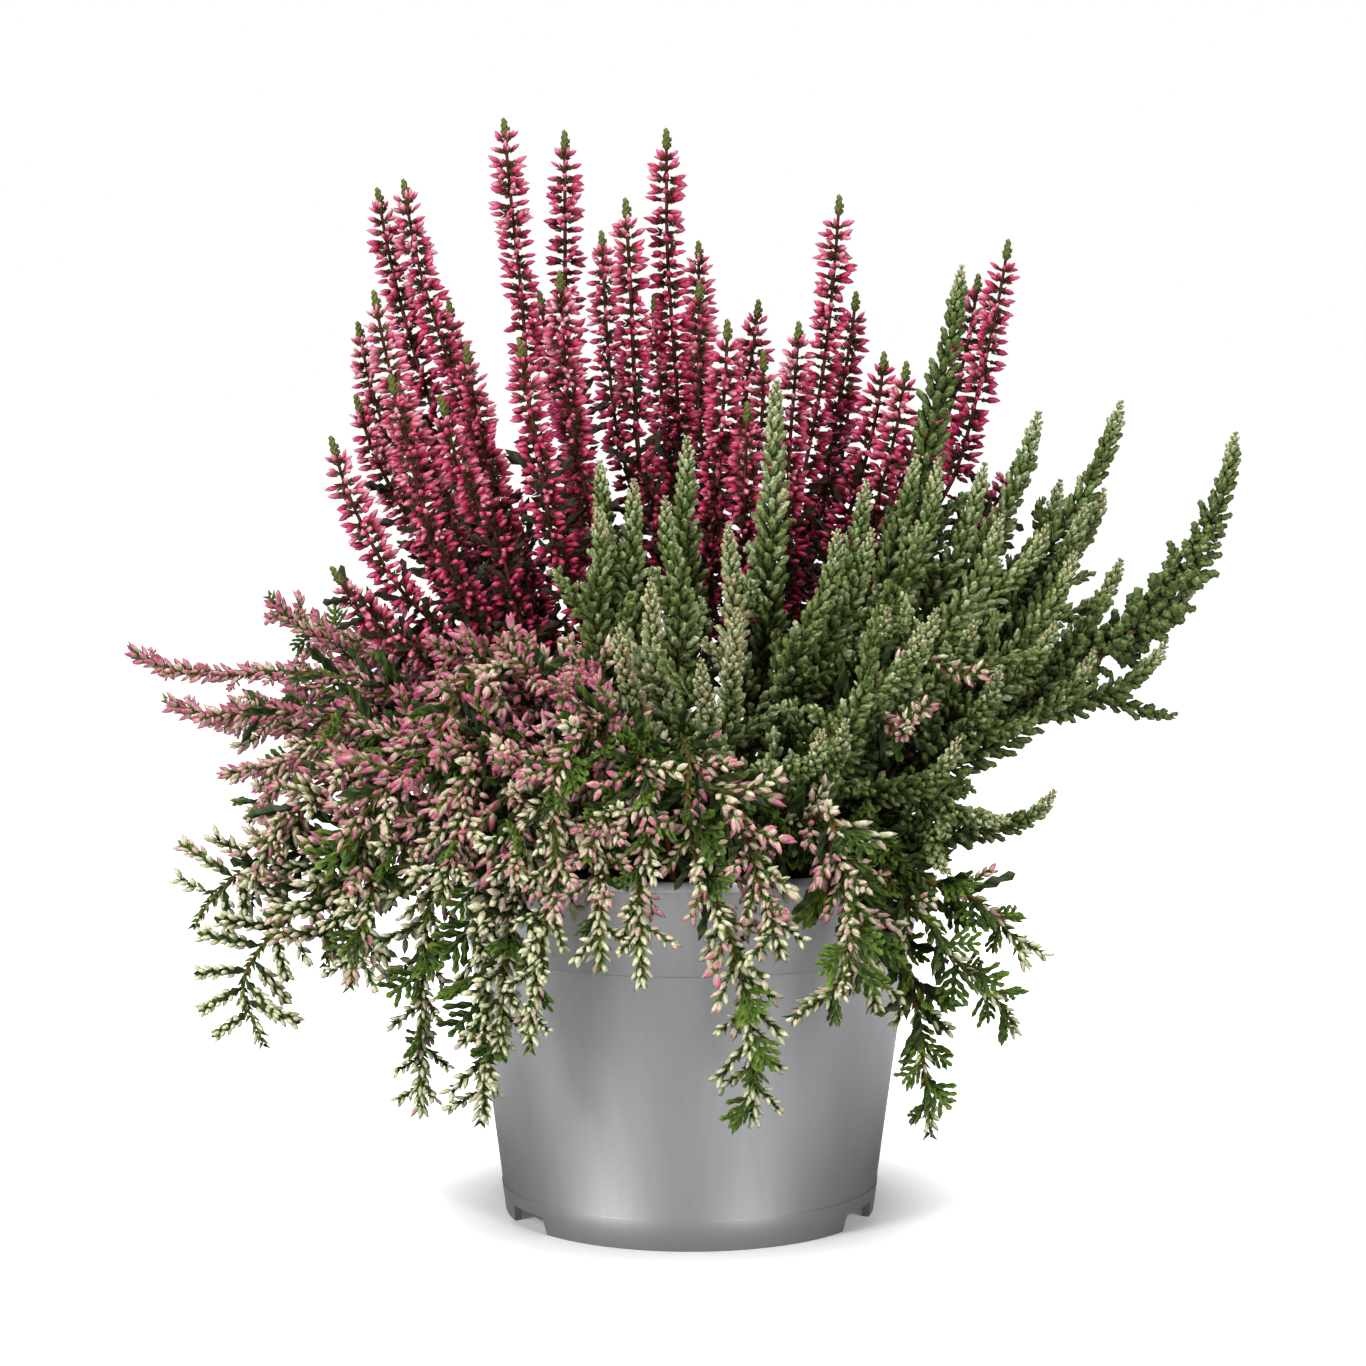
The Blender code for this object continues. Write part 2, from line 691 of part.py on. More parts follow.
def shoot_object(shoot, holder):
    """The core with alternate corners of each ring drawn out and swept up into buds."""
    plan = ring_plan(shoot)
    centres = resample(shoot.axis, [row[0] for row in plan])
    slopes = np.gradient(centres, axis=0)
    mesh = core_mesh(centres, plan, holder)
    bm = bmesh.new()
    bm.from_mesh(mesh)
    bpy.data.meshes.remove(mesh)
    bm.verts.ensure_lookup_table()
    caps = len(bm.verts) - SIDES * len(plan)
    for ring in range(1, len(plan) - 1):
        _, core, reach, sweep = plan[ring]
        centre = Vector(centres[ring])
        along = Vector(unit(slopes[ring])) * sweep
        for side in range(ring % 2, SIDES, 2):
            vert = bm.verts[caps + ring * SIDES + side]
            if reach > core:
                vert.co = centre + (vert.co - centre).normalized() * reach + along
    bmesh.ops.remove_doubles(bm, verts=bm.verts, dist=WELD)
    bmesh.ops.triangulate(bm, faces=bm.faces, quad_method="SHORT_EDGE")
    bmesh.ops.recalc_face_normals(bm, faces=bm.faces)
    return object_from_bmesh("shoot", bm, holder)


def shells_of(bm):
    """Groups of vertices that edges join, the smallest group first."""
    unseen = set(bm.verts)
    shells = []
    while unseen:
        stack = [unseen.pop()]
        shell = []
        while stack:
            vert = stack.pop()
            shell.append(vert)
            for edge in vert.link_edges:
                other = edge.other_vert(vert)
                if other in unseen:
                    unseen.discard(other)
                    stack.append(other)
        shells.append(shell)
    return sorted(shells, key=len)


def keep_largest_shell(mesh):
    """Drops loose scraps, and the walls of hollows that a union has sealed."""
    bm = bmesh.new()
    bm.from_mesh(mesh)
    for shell in shells_of(bm)[:-1]:
        bmesh.ops.delete(bm, geom=shell, context="VERTS")
    bm.to_mesh(mesh)
    bm.free()


def make_stem(name, shoots, holder, finish):
    """The main shoot with its side shoots joined by one union."""
    stem = shoot_object(shoots[0], holder)
    stem.name = name
    if len(shoots) > 1:
        sides = new_collection("side_shoots")
        for shoot in shoots[1:]:
            shoot_object(shoot, sides)
        union = stem.modifiers.new("join", "BOOLEAN")
        union.operation = "UNION"
        union.solver = "MANIFOLD"
        union.operand_type = "COLLECTION"
        union.collection = sides
        graph = bpy.context.evaluated_depsgraph_get()
        stem.data = bpy.data.meshes.new_from_object(stem.evaluated_get(graph))
        stem.modifiers.clear()
        keep_largest_shell(stem.data)
        for obj in list(sides.objects):
            bpy.data.objects.remove(obj)
        bpy.data.collections.remove(sides)
    stem.data.name = name
    stem.data.materials.clear()
    stem.data.materials.append(finish)


def plan_plant():
    """Stems, their roots, and every shoot with its final axis and the room it has."""
    stems = stem_list()
    roots = root_places(stems)
    shoots = lay_out(stems, roots)
    spread(shoots)
    measure_room(shoots)
    return stems, roots, shoots


def main():
    clear_scene()
    holder = new_collection("potted_heather")
    stems, roots, shoots = plan_plant()
    finishes = {name: material(name, kind.colour, 0.6) for name, kind in KINDS.items()}
    numbers = dict.fromkeys(KINDS, 0)
    for index, (name, _) in enumerate(stems):
        numbers[name] += 1
        own = [shoot for shoot in shoots if shoot.stem == index]
        make_stem(f"{name}_{numbers[name]:02d}", own, holder, finishes[name])
    make_pot(holder, material("pot_plastic", (0.30, 0.30, 0.31, 1.0), 0.38))
    make_peat(holder, material("peat", (0.02, 0.014, 0.01, 1.0), 0.95), roots)


if __name__ == "__main__":
    main()
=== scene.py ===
"""Potted heather: three heathers of different colours grown together in a plain nursery pot.

Every stem is dressed along the same shoots as its solid has: stem tubes, leafy columns, clubs of
scale leaves, budded twigs and closed buds, each a small shape that is copied along the shoots.
Metres, +Z up, origin at the middle of the pot's base.
"""

import functools
import json
import math
import random
from dataclasses import dataclass

import bmesh
import bpy
import numpy as np
from bpy.props import FloatProperty, FloatVectorProperty, IntProperty, PointerProperty
from mathutils import Matrix, Vector, noise

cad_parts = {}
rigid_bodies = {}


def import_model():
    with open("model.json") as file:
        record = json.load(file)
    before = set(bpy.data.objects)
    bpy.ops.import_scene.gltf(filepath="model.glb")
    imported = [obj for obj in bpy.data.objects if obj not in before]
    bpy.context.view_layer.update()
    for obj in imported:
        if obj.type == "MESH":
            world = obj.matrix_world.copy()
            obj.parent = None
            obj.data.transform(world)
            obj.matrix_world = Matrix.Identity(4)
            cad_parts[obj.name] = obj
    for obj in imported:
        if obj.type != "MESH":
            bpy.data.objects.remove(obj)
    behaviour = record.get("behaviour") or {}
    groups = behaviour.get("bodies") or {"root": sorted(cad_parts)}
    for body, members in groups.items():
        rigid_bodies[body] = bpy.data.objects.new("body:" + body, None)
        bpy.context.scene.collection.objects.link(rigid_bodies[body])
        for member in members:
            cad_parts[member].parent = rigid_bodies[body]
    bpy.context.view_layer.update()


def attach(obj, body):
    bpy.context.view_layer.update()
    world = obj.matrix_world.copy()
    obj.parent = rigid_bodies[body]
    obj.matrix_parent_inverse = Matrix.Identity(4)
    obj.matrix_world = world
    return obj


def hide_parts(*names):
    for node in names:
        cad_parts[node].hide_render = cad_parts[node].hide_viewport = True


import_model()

bl_info = {
    "name": "Potted heather",
    "version": (1, 0, 0),
    "blender": (4, 5, 0),
    "location": "View3D > Sidebar > Heather",
    "description": "Builds a mixed heather in a nursery pot, piece by piece",
    "category": "Add Mesh",
}

MM = 0.001
TINY = 1e-6
WELD = 1e-6
SEAM = 1e-5
UP = np.array([0.0, 0.0, 1.0])

# Pot, a thin tapered shell
POT_HEIGHT = 107 * MM
RIM_RADIUS = 70 * MM
FOOT_RADIUS = 54.5 * MM
WALL = 1.3 * MM
LIP_HEIGHT = 3 * MM
LIP_STEP = 0.9 * MM
BAND_BOTTOM = 80 * MM
BAND_STEP = 0.6 * MM
FOOT_RING_TOP = 9 * MM
FOOT_RING_STEP = 0.3 * MM
FOOT_WALL = 2.2 * MM
FLOOR_Z = 6.5 * MM
FLOOR_TOP = 8 * MM
RIB_RADIUS = 49.2 * MM
RIB_WALL = 1.4 * MM
RIB_BOTTOM = 1.2 * MM
NOTCH_HEIGHT = 5 * MM
NOTCH_DEPTH = 9 * MM
NOTCH_WIDTH_LOW = 22 * MM
NOTCH_WIDTH_HIGH = 17 * MM
NOTCH_AZIMUTHS = (-59, 64, 180)
DRAIN_RADIUS = 4 * MM
DRAIN_RING = 32 * MM
DRAIN_COUNT = 6
CORNER_RADIUS = 0.35 * MM
SHARP_FROM = 35

# Top of the peat
PEAT_RINGS = 26
PEAT_SIDES = 96
LUMP_SIZE = 9 * MM

# Places of the stems in the peat
PEAT_TOP = POT_HEIGHT - 11 * MM
HOLE_DEPTH = 8 * MM
GAP = 0.3 * MM
ROOT_SHARE = 0.36
ROOT_REACH = 50 * MM
ROOT_SPACING = 9.5 * MM
ROOT_ROUNDS = 200

# Ways of the shoots
POINTS_ON_AXIS = 26
COLLAR = 3 * MM
COLLAR_LEAN = 0.25
HANGING_BELOW = 128 * MM
DROOP_RANGE = 45 * MM
CREST_Z = (136 * MM, 164 * MM)
CREST_REACH = (52 * MM, 80 * MM)
CREST_SHARE = (0.55, 0.70)
CREST_OVER_TIP = 10 * MM
CREST_SWING = 0.14
FORK_SCATTER = 0.06
FORK_LEAN = 0.5
SPIKE_LEAN = 0.6
SPRAY_LEAN = 0.5
SEED = 11

# Grey-green stems unlike the rest: how light they are, and how far down they are dry
ARCHING_BRANCH = "grey_green_stem_05"
LIGHTNESS = {
    "grey_green_stem_01": 1.3,
    "grey_green_stem_02": 0.0,
    "grey_green_stem_03": 0.8,
    "grey_green_stem_04": 0.15,
    "grey_green_stem_05": 0.3,
    "grey_green_stem_10": 1.75,
    "grey_green_stem_16": 0.3,
    "grey_green_stem_18": 0.0,
    "grey_green_stem_19": 0.3,
}
FRONT_FOXTAIL = "grey_green_stem_10"
FOXTAIL_CLEAR = (128 * MM, 5 * MM)
DRY_TIPS = {"grey_green_stem_01": 8 * MM, "grey_green_stem_11": 45 * MM}
USUAL_DRY_TIP = 15 * MM

# Clearing of the shoots from each other and from the pot
SPREAD_ROUNDS = 70
PAIRS_EVERY = 10
PAIR_RANGE = 30 * MM
CLEARANCE = 0.8 * MM
PUSH = 0.35
MOST_MOVE = 4 * MM
HELD_SHARE = 0.08
LOOSE_BY = 0.25
TIP_HOLD = 0.55
PAST_FORK = 0.14
PAST_FOOT = 0.30
RIM_CLEAR = 4.5 * MM
RIM_BELOW = 2 * MM
WALL_CLEAR = 2 * MM
WALL_ZONE = 6 * MM
SIDE_FOOT = 0.6
SWELL_SHARE = 0.18
TAPER_POWER = 1.6

# Colour chart: a strip along U for each sort of growth, and up V the tones of the corners round a
# shape, of the parts of a bigger shape and of the whole copy
CHART = "OFBake"
BARK, LEAF, BUD = 0, 1, 2
STRIPS = ((0.01, 0.19), (0.25, 0.58), (0.64, 0.99))
ROUND_TONES = 0.20
PART_TONES = 0.20
COPY_TONES = 0.60

# Turn between the leaves up a stem, ranks of growth round it and length of a usual twig
GOLDEN_TURN = 2.4
RANKS = 4
TWIG = 11 * MM

# How many buds each crimson cluster has
BUDS_IN_CLUSTERS = (1, 2, 2, 1, 2, 3, 2, 1)

# One over the size of the uneven patches in the colours of growth
GRAIN_SCALE = 1300.0

# Heights between which the sprays turn from small buds with many leaves to bigger ones
LOW_SPRAYS = (75 * MM, 135 * MM)

# Bare share of a side shoot, and of a side shoot of a spray
SIDE_FOOT_BARE = 0.12
SPRAY_FOOT_BARE = 0.10

# Distance up a shoot where the shaded twigs start
FIRST_TWIG = 8 * MM

# How far from a tip the buds have their finer shape
FINE_CRIMSON = 22 * MM
FINE_SPRAY = 15 * MM

# Stage: what the lamps aim at, their places and sizes, and the camera with its dip in degrees
AIM = (0.0, 0.0, 0.16)
LAMPS = {
    "key": ((-1.47, -1.38, 0.70), (0.6, 1.5)),
    "fill": ((0.82, -1.25, 0.50), (0.35, 0.95)),
    "top": ((0.0, -0.1, 1.5), (1.0, 1.0)),
}
CAMERA_PLACE = (-0.002, -0.970, 0.242)
CAMERA_DIP = 5.08
FOCAL_LENGTH = 87.5
FILM_WIDTH = 36.0
FLOOR_SIZE = 60.0


@dataclass
class Kind:
    """How one heather grows: radii in metres, the rest as shares of a shoot's length."""

    root: float
    reach: float
    bare: float
    fork: float
    blunt: float


@dataclass
class Shoot:
    """One shoot of a stem: the main one, or a side one that leaves the main one at fork."""

    stem: int
    kind: Kind
    fork: float
    axis: np.ndarray

    def is_main(self):
        return self.fork == 0.0


@dataclass
class Look:
    """How one trailing spray is dressed: shares of 1, sizes as shares of the usual twig."""

    buds: float = 1.0
    ferns: float = 0.15
    twig_step: float = 3.5 * MM
    twig_size: float = 1.0
    twig_lift: float = 0.6
    bare: float = 0.0
    comb: bool = False
    comb_turn: float = 0.0


USUAL_LOOK = Look()
SPRAY_LOOKS = {
    "pink_white_spray_01": Look(twig_size=0.6, twig_step=6 * MM, ferns=0.0),
    "pink_white_spray_04": Look(
        buds=0.05, ferns=0.0, twig_step=3.6 * MM, twig_size=1.15, twig_lift=0.2, comb=True,
        comb_turn=1.2,
    ),
    "pink_white_spray_05": Look(twig_step=2.8 * MM, twig_size=1.2),
    "pink_white_spray_06": Look(twig_step=3.0 * MM, twig_size=1.25),
    "pink_white_spray_08": Look(ferns=0.3, bare=0.58),
    "pink_white_spray_09": Look(twig_step=2.8 * MM, twig_size=1.2, ferns=0.2),
    "pink_white_spray_10": Look(ferns=0.45, twig_size=1.2),
    "pink_white_spray_11": Look(buds=0.5, ferns=0.75, twig_size=1.05, twig_step=3.8 * MM),
    "pink_white_spray_12": Look(buds=0.6, twig_size=0.5, twig_step=18 * MM, ferns=0.0),
    "pink_white_spray_15": Look(twig_step=2.8 * MM, twig_size=1.2),
    "pink_white_spray_16": Look(twig_step=3.0 * MM, twig_size=1.25),
}

KINDS = {
    "crimson_spike": Kind(root=1.3 * MM, reach=7.2 * MM, bare=0.40, fork=0.40, blunt=0.75),
    "grey_green_stem": Kind(root=1.4 * MM, reach=6.3 * MM, bare=0.28, fork=0.42, blunt=0.45),
    "pink_white_spray": Kind(root=1.3 * MM, reach=6.6 * MM, bare=0.30, fork=0.45, blunt=0.60),
}

# Tips of every stem and of its side shoots, in millimetres from the middle of the pot's base,
# the main tip first. A main shoot with a way of its own is a list of points down to its tip.
STEMS = {
    "crimson_spike": [
        [(-56, 42, 323), (-38, 50, 320)],
        [(-7, 30, 319), (-19, 22, 298)],
        [(-88, 62, 306), (-97, 72, 304)],
        [(46, 58, 301), (52, 72, 272)],
        [(97, 48, 287), (89, 60, 277), (100, 40, 222)],
        [(-94, 25, 271), (-88, 12, 246)],
        [(-38, 5, 276), (-49, -8, 256)],
        [(3, 60, 275), (-11, 72, 271)],
        [(-105, 88, 263), (-102, 50, 240)],
        [(33, 38, 262), (22, 25, 253)],
        [(11, 8, 262), (16, 0, 238)],
        [(-67, 30, 255), (-73, 8, 240)],
        [(65, 30, 250), (59, 42, 253)],
        [(-105, 5, 228), (-103, -12, 191)],
        [(-28, 98, 292), (-48, 102, 273), (-36, 96, 206)],
        [(3, 104, 289), (22, 92, 270), (8, 90, 214)],
        [(-77, 100, 270), (-94, 104, 245), (-72, 88, 196)],
        [(52, 102, 245), (73, 90, 232), (56, 84, 190)],
    ],
    "grey_green_stem": [
        [(25, -8, 244), (11, -22, 203)],
        [(81, 25, 278), (67, 12, 222)],
        [(103, 14, 235), (104, -2, 202)],
        [(127, 12, 238), (116, 2, 208), (124, 24, 212)],
        [
            [(86, 0, 146), (126, 0, 164), (150, 0, 198), (159, 0, 229)],
            (138, -8, 169),
            (149, 8, 187),
        ],
        [(86, 0, 220), (72, -8, 222)],
        [(89, -22, 206), (80, -42, 177)],
        [(-1, -5, 228), (-7, -18, 211)],
        [(-26, -12, 221), (-26, -28, 208), (-16, -22, 216)],
        [(-11, -45, 189), (-20, -58, 176)],
        [(13, -50, 181), (3, -66, 168)],
        [(42, -30, 202), (52, -22, 202)],
        [(52, 8, 215), (56, -35, 180)],
        [(111, -14, 195), (104, -30, 176)],
        [(68, -55, 181), (63, -68, 178)],
        [(116, -20, 167), (86, -52, 165)],
        [(42, -82, 153), (35, -90, 151)],
        [(102, -48, 130), (70, -80, 111)],
        [(73, -72, 147), (88, -62, 123)],
        [(134, 60, 189), (117, 78, 213), (112, 70, 146)],
        [(100, 95, 187), (68, 102, 173), (44, 96, 196)],
    ],
    "pink_white_spray": [
        [[(-70, -4, 150), (-110, -8, 158), (-162, -10, 166)], (-151, -22, 153)],
        [(-122, -8, 182), (-135, 5, 149)],
        [(-134, -25, 132), (-125, -38, 103)],
        [
            [(-82, -30, 128), (-110, -36, 97), (-127, -40, 74), (-121, -40, 56)],
            (-142, -28, 88),
            (-102, -52, 80),
        ],
        [(-75, -62, 42), (-94, -66, 77)],
        [(-57, -78, 42), (-51, -88, 62)],
        [(-43, -96, 66), (-24, -100, 88)],
        [(-13, -104, 85), (-27, -98, 117)],
        [[(-4, -72, 146), (6, -94, 116), (14, -98, 84), (17, -92, 46)], (24, -104, 92)],
        [[(32, -74, 132), (42, -92, 104), (40, -98, 84), (27, -96, 74)], (50, -86, 75)],
        [[(48, -54, 122), (66, -70, 92), (89, -70, 66)], (66, -70, 37), (92, -66, 84)],
        [(82, -62, 166), (65, -78, 158)],
        [(-73, -38, 171), (-53, -48, 172)],
        [(-35, -70, 157), (-51, -84, 142)],
        [(-104, -45, 135), (-86, -62, 115)],
        [(-68, -82, 104), (-45, -94, 111)],
        [(-151, 50, 140), (-139, 70, 106), (-118, 62, 172)],
        [(-78, 96, 108), (-42, 103, 88), (-20, 84, 160)],
        [(36, 104, 81), (85, 98, 109), (20, 88, 138)],
    ],
}


# Layout of the stems, as in their solids


def wall_radius(z):
    """Outer radius of the pot's tapered wall at this height."""
    return FOOT_RADIUS + (RIM_RADIUS - LIP_STEP - FOOT_RADIUS) * z / POT_HEIGHT


def inner_radius(z):
    """Radius of the pot's inner wall, straight from the floor to the rim."""
    low = wall_radius(FLOOR_Z) - WALL
    high = RIM_RADIUS - LIP_STEP - WALL
    return low + (high - low) * (z - FLOOR_TOP) / (POT_HEIGHT - FLOOR_TOP)


def stem_list():
    """Every stem as (kind's name, ways in metres), where a way ends at its tip."""
    found = []
    for name, stems in STEMS.items():
        for ways in stems:
            found.append((name, [np.atleast_2d(np.array(way, float)) * MM for way in ways]))
    return found


def root_places(stems):
    """Where each stem comes out of the peat: towards its own tips, and evenly spaced."""
    roots = np.array([
        np.mean([way[-1] for way in ways], axis=0)[:2] * ROOT_SHARE for _, ways in stems
    ])
    for _ in range(ROOT_ROUNDS):
        apart = roots[:, None] - roots[None]
        distance = np.linalg.norm(apart, axis=2)
        np.fill_diagonal(distance, 1.0)
        short = np.clip(ROOT_SPACING - distance, 0.0, None) / distance
        roots += PUSH * (apart * short[:, :, None]).sum(axis=1)
        reach = np.maximum(np.linalg.norm(roots, axis=1), TINY)
        roots *= np.minimum(1.0, ROOT_REACH / reach)[:, None]
    return roots


def unit(vector):
    return vector / max(np.linalg.norm(vector), TINY)


def units(vectors):
    return vectors / np.maximum(np.linalg.norm(vectors, axis=-1, keepdims=True), TINY)


def outward_of(point):
    """Level direction from the pot's axis to this point."""
    return unit(point * (1.0, 1.0, 0.0))


def read_rows(wanted, marks, table):
    """Rows of a table of vectors, read between its marks."""
    return np.stack([np.interp(wanted, marks, table[:, axis]) for axis in range(3)], axis=1)


def resample(points, shares):
    """Points at these shares of a polyline's length."""
    steps = np.linalg.norm(np.diff(points, axis=0), axis=1)
    marks = np.concatenate([[0.0], np.cumsum(steps)])
    return read_rows(np.asarray(shares) * marks[-1], marks, points)


def smooth_path(knots, headings):
    """Hermite curve through the knots along these headings, evenly spaced along its length."""
    t = np.linspace(0.0, 1.0, POINTS_ON_AXIS)[:, None]
    pieces = []
    for a, b, u, v in zip(knots, knots[1:], headings, headings[1:]):
        chord = np.linalg.norm(b - a)
        pieces.append(
            (2 * t**3 - 3 * t**2 + 1) * a + (t**3 - 2 * t**2 + t) * chord * unit(u)
            + (3 * t**2 - 2 * t**3) * b + (t**3 - t**2) * chord * unit(v)
        )
    dense = np.concatenate([piece[:-1] for piece in pieces] + [pieces[-1][-1:]])
    return resample(dense, np.linspace(0.0, 1.0, POINTS_ON_AXIS))


def tip_heading(name, tip, towards):
    """Spikes and leafy stems end upright. Sprays end level when high and hang when low."""
    if name != "pink_white_spray" and tip[2] > HANGING_BELOW:
        return SPIKE_LEAN * towards + UP
    droop = np.clip((tip[2] - HANGING_BELOW) / DROOP_RANGE, -1.0, 0.5)
    outward = outward_of(tip) * (1.0 - abs(droop))
    return SPRAY_LEAN * (towards + outward) + UP * droop


def crest_of(tip, draw):
    """Highest point of an arching shoot, on its way over the rim to the tip."""
    swing = Matrix.Rotation(draw.uniform(-CREST_SWING, CREST_SWING), 3, "Z")
    reach = math.hypot(tip[0], tip[1]) * draw.uniform(*CREST_SHARE)
    crest = np.array(swing @ Vector(outward_of(tip))) * np.clip(reach, *CREST_REACH)
    crest[2] = np.clip(tip[2] + CREST_OVER_TIP, draw.uniform(*CREST_Z), CREST_Z[1])
    return crest


def main_axis(name, root, way, draw):
    """From the peat to the tip: straight up and out, along its own way, or over a crest."""
    tip = way[-1]
    start = np.array([root[0], root[1], PEAT_TOP - HOLE_DEPTH + 2 * GAP])
    collar = start + UP * (HOLE_DEPTH + COLLAR)
    outward = outward_of(tip)
    knots = [start, collar]
    headings = [UP, UP + COLLAR_LEAN * outward]
    if len(way) > 1:
        for before, point, after in zip([collar, *way], way, way[1:]):
            knots.append(point)
            headings.append(after - before)
    elif name == "pink_white_spray" or tip[2] < HANGING_BELOW:
        crest = crest_of(tip, draw)
        if crest[2] > tip[2] - CREST_OVER_TIP:
            knots.append(crest)
            headings.append(outward + COLLAR_LEAN * UP)
    headings.append(tip_heading(name, tip, unit(tip - knots[-1])))
    knots.append(tip)
    return smooth_path(knots, headings)


def side_axis(name, main, fork, tip):
    """From a fork on the main axis to the side shoot's own tip."""
    index = round(fork * (POINTS_ON_AXIS - 1))
    start = main[index]
    heading = unit(main[index + 1] - main[index - 1])
    towards = unit(tip - start)
    leaving = FORK_LEAN * heading + towards
    return smooth_path([start, tip], [leaving, tip_heading(name, tip, towards)])


def lay_out(stems, roots):
    """All shoots with their first axes, each main shoot followed by its side shoots."""
    draw = random.Random(SEED)
    shoots = []
    for index, (name, ways) in enumerate(stems):
        kind = KINDS[name]
        main = main_axis(name, roots[index], ways[0], draw)
        shoots.append(Shoot(index, kind, 0.0, main))
        for way in ways[1:]:
            fork = kind.fork + draw.uniform(-FORK_SCATTER, FORK_SCATTER)
            shoots.append(Shoot(index, kind, fork, side_axis(name, main, fork, way[-1])))
    return shoots


def bud_share(shoot, share):
    """Share along a whole stem that a share along this shoot counts as."""
    if shoot.is_main():
        return share
    foot = SIDE_FOOT * shoot.kind.bare
    return foot + share * (1.0 - foot)


def bud_reach(shoot, share):
    """Outer radius of a shoot at a share of its length, where nothing is in its way."""
    kind = shoot.kind
    within = (bud_share(shoot, share) - kind.bare) / (1.0 - kind.bare)
    if within <= 0.0:
        return kind.root
    swell = min(1.0, within / SWELL_SHARE)
    taper = 1.0 - (1.0 - kind.blunt) * within**TAPER_POWER
    return kind.root + (kind.reach - kind.root) * swell * taper


def stem_marks(shoots, shares):
    """What each point counts as when clearances are taken: its stem or, past a fork, its shoot."""
    forks = {}
    for shoot in shoots:
        forks[shoot.stem] = max(forks.get(shoot.stem, 0.0), shoot.fork)
    marks = []
    for place, shoot in enumerate(shoots):
        parted = forks[shoot.stem] + PAST_FORK if shoot.is_main() else PAST_FOOT
        marks.append(np.where(shares > parted, len(shoots) + place, shoot.stem))
    return np.concatenate(marks)


def near_pairs(points, marks):
    """Pairs of points of different shoots that are near enough to meet."""
    small = points.astype(np.float32)
    square = (small**2).sum(axis=1)
    distance = square[:, None] + square[None] - 2 * small @ small.T
    first, second = np.nonzero(distance < PAIR_RANGE**2)
    shoot = np.arange(len(points)) // POINTS_ON_AXIS
    keep = (shoot[first] < shoot[second]) & (marks[first] != marks[second])
    return first[keep], second[keep]


def pair_push(points, radii, first, second):
    """How far each point moves off the points of other shoots."""
    apart = points[first] - points[second]
    distance = np.maximum(np.linalg.norm(apart, axis=1), TINY)
    short = np.clip(radii[first] + radii[second] + CLEARANCE - distance, 0.0, None)
    push = apart * (PUSH * short / distance)[:, None]
    moved = np.stack([
        np.bincount(first, push[:, axis], len(points))
        - np.bincount(second, push[:, axis], len(points)) for axis in range(3)
    ], axis=1)
    return np.clip(moved, -MOST_MOVE, MOST_MOVE)


def pot_push(points, radii):
    """How far each point moves up and out off the rim, and out off the wall."""
    reach = np.maximum(np.linalg.norm(points[:, :2], axis=1), TINY)
    away = points * (1.0, 1.0, 0.0) / reach[:, None]
    from_rim = reach - RIM_RADIUS + WALL
    above_rim = points[:, 2] - POT_HEIGHT + RIM_BELOW
    distance = np.maximum(np.hypot(from_rim, above_rim), TINY)
    short = np.clip(radii + RIM_CLEAR - distance, 0.0, None) / distance
    short[above_rim < 0.0] = 0.0
    push = away * (np.clip(from_rim, 0.0, None) * short)[:, None]
    push[:, 2] += (above_rim + GAP) * short
    outside = (points[:, 2] < POT_HEIGHT) & (reach > RIM_RADIUS - WALL_ZONE)
    wall = wall_radius(points[:, 2]) + LIP_STEP + radii + WALL_CLEAR
    return push + away * (np.clip(wall - reach, 0.0, None) * outside)[:, None]


def soften(moves, times):
    """Evens out moves along each shoot, so that its axis stays smooth."""
    for _ in range(times):
        padded = np.concatenate([moves[:, :1], moves, moves[:, -1:]], axis=1)
        moves = 0.25 * padded[:, :-2] + 0.5 * padded[:, 1:-1] + 0.25 * padded[:, 2:]
    return moves


def join_forks(shoots, axes):
    """Carries the foot of each side shoot along with the main axis it grows from."""
    fade = np.clip(1.0 - np.linspace(0.0, 2.0, POINTS_ON_AXIS), 0.0, 1.0)[:, None]
    main = 0
    for place, shoot in enumerate(shoots):
        if shoot.is_main():
            main = place
            continue
        foot = axes[main, round(shoot.fork * (POINTS_ON_AXIS - 1))]
        axes[place] += (foot - axes[place, 0]) * fade


def spread(shoots):
    """Moves the axes apart until shoots clear each other and the pot. Roots stay."""
    shares = np.linspace(0.0, 1.0, POINTS_ON_AXIS)
    axes = np.array([shoot.axis for shoot in shoots])
    marks = stem_marks(shoots, shares)
    radii = np.array([bud_reach(shoot, share) for shoot in shoots for share in shares])
    loose = np.clip((shares - HELD_SHARE) / LOOSE_BY, 0.0, 1.0) * (1.0 - TIP_HOLD * shares**3)
    for turn in range(SPREAD_ROUNDS):
        points = axes.reshape(-1, 3)
        if turn % PAIRS_EVERY == 0:
            first, second = near_pairs(points, marks)
        off_others = pair_push(points, radii, first, second).reshape(axes.shape)
        off_pot = pot_push(points, radii).reshape(axes.shape)
        moved = soften(off_others, 3) + 0.5 * soften(off_pot, 1)
        axes = axes + moved * loose[None, :, None]
        join_forks(shoots, axes)
    for shoot, axis in zip(shoots, axes):
        shoot.axis = resample(axis, shares)


@functools.cache
def plan_plant():
    """Each stem's node name and its shoots with their final axes, the main shoot first."""
    stems = stem_list()
    shoots = lay_out(stems, root_places(stems))
    spread(shoots)
    numbers = dict.fromkeys(KINDS, 0)
    plan = {}
    for index, (name, _) in enumerate(stems):
        numbers[name] += 1
        own = [shoot for shoot in shoots if shoot.stem == index]
        plan[f"{name}_{numbers[name]:02d}"] = own
    return plan


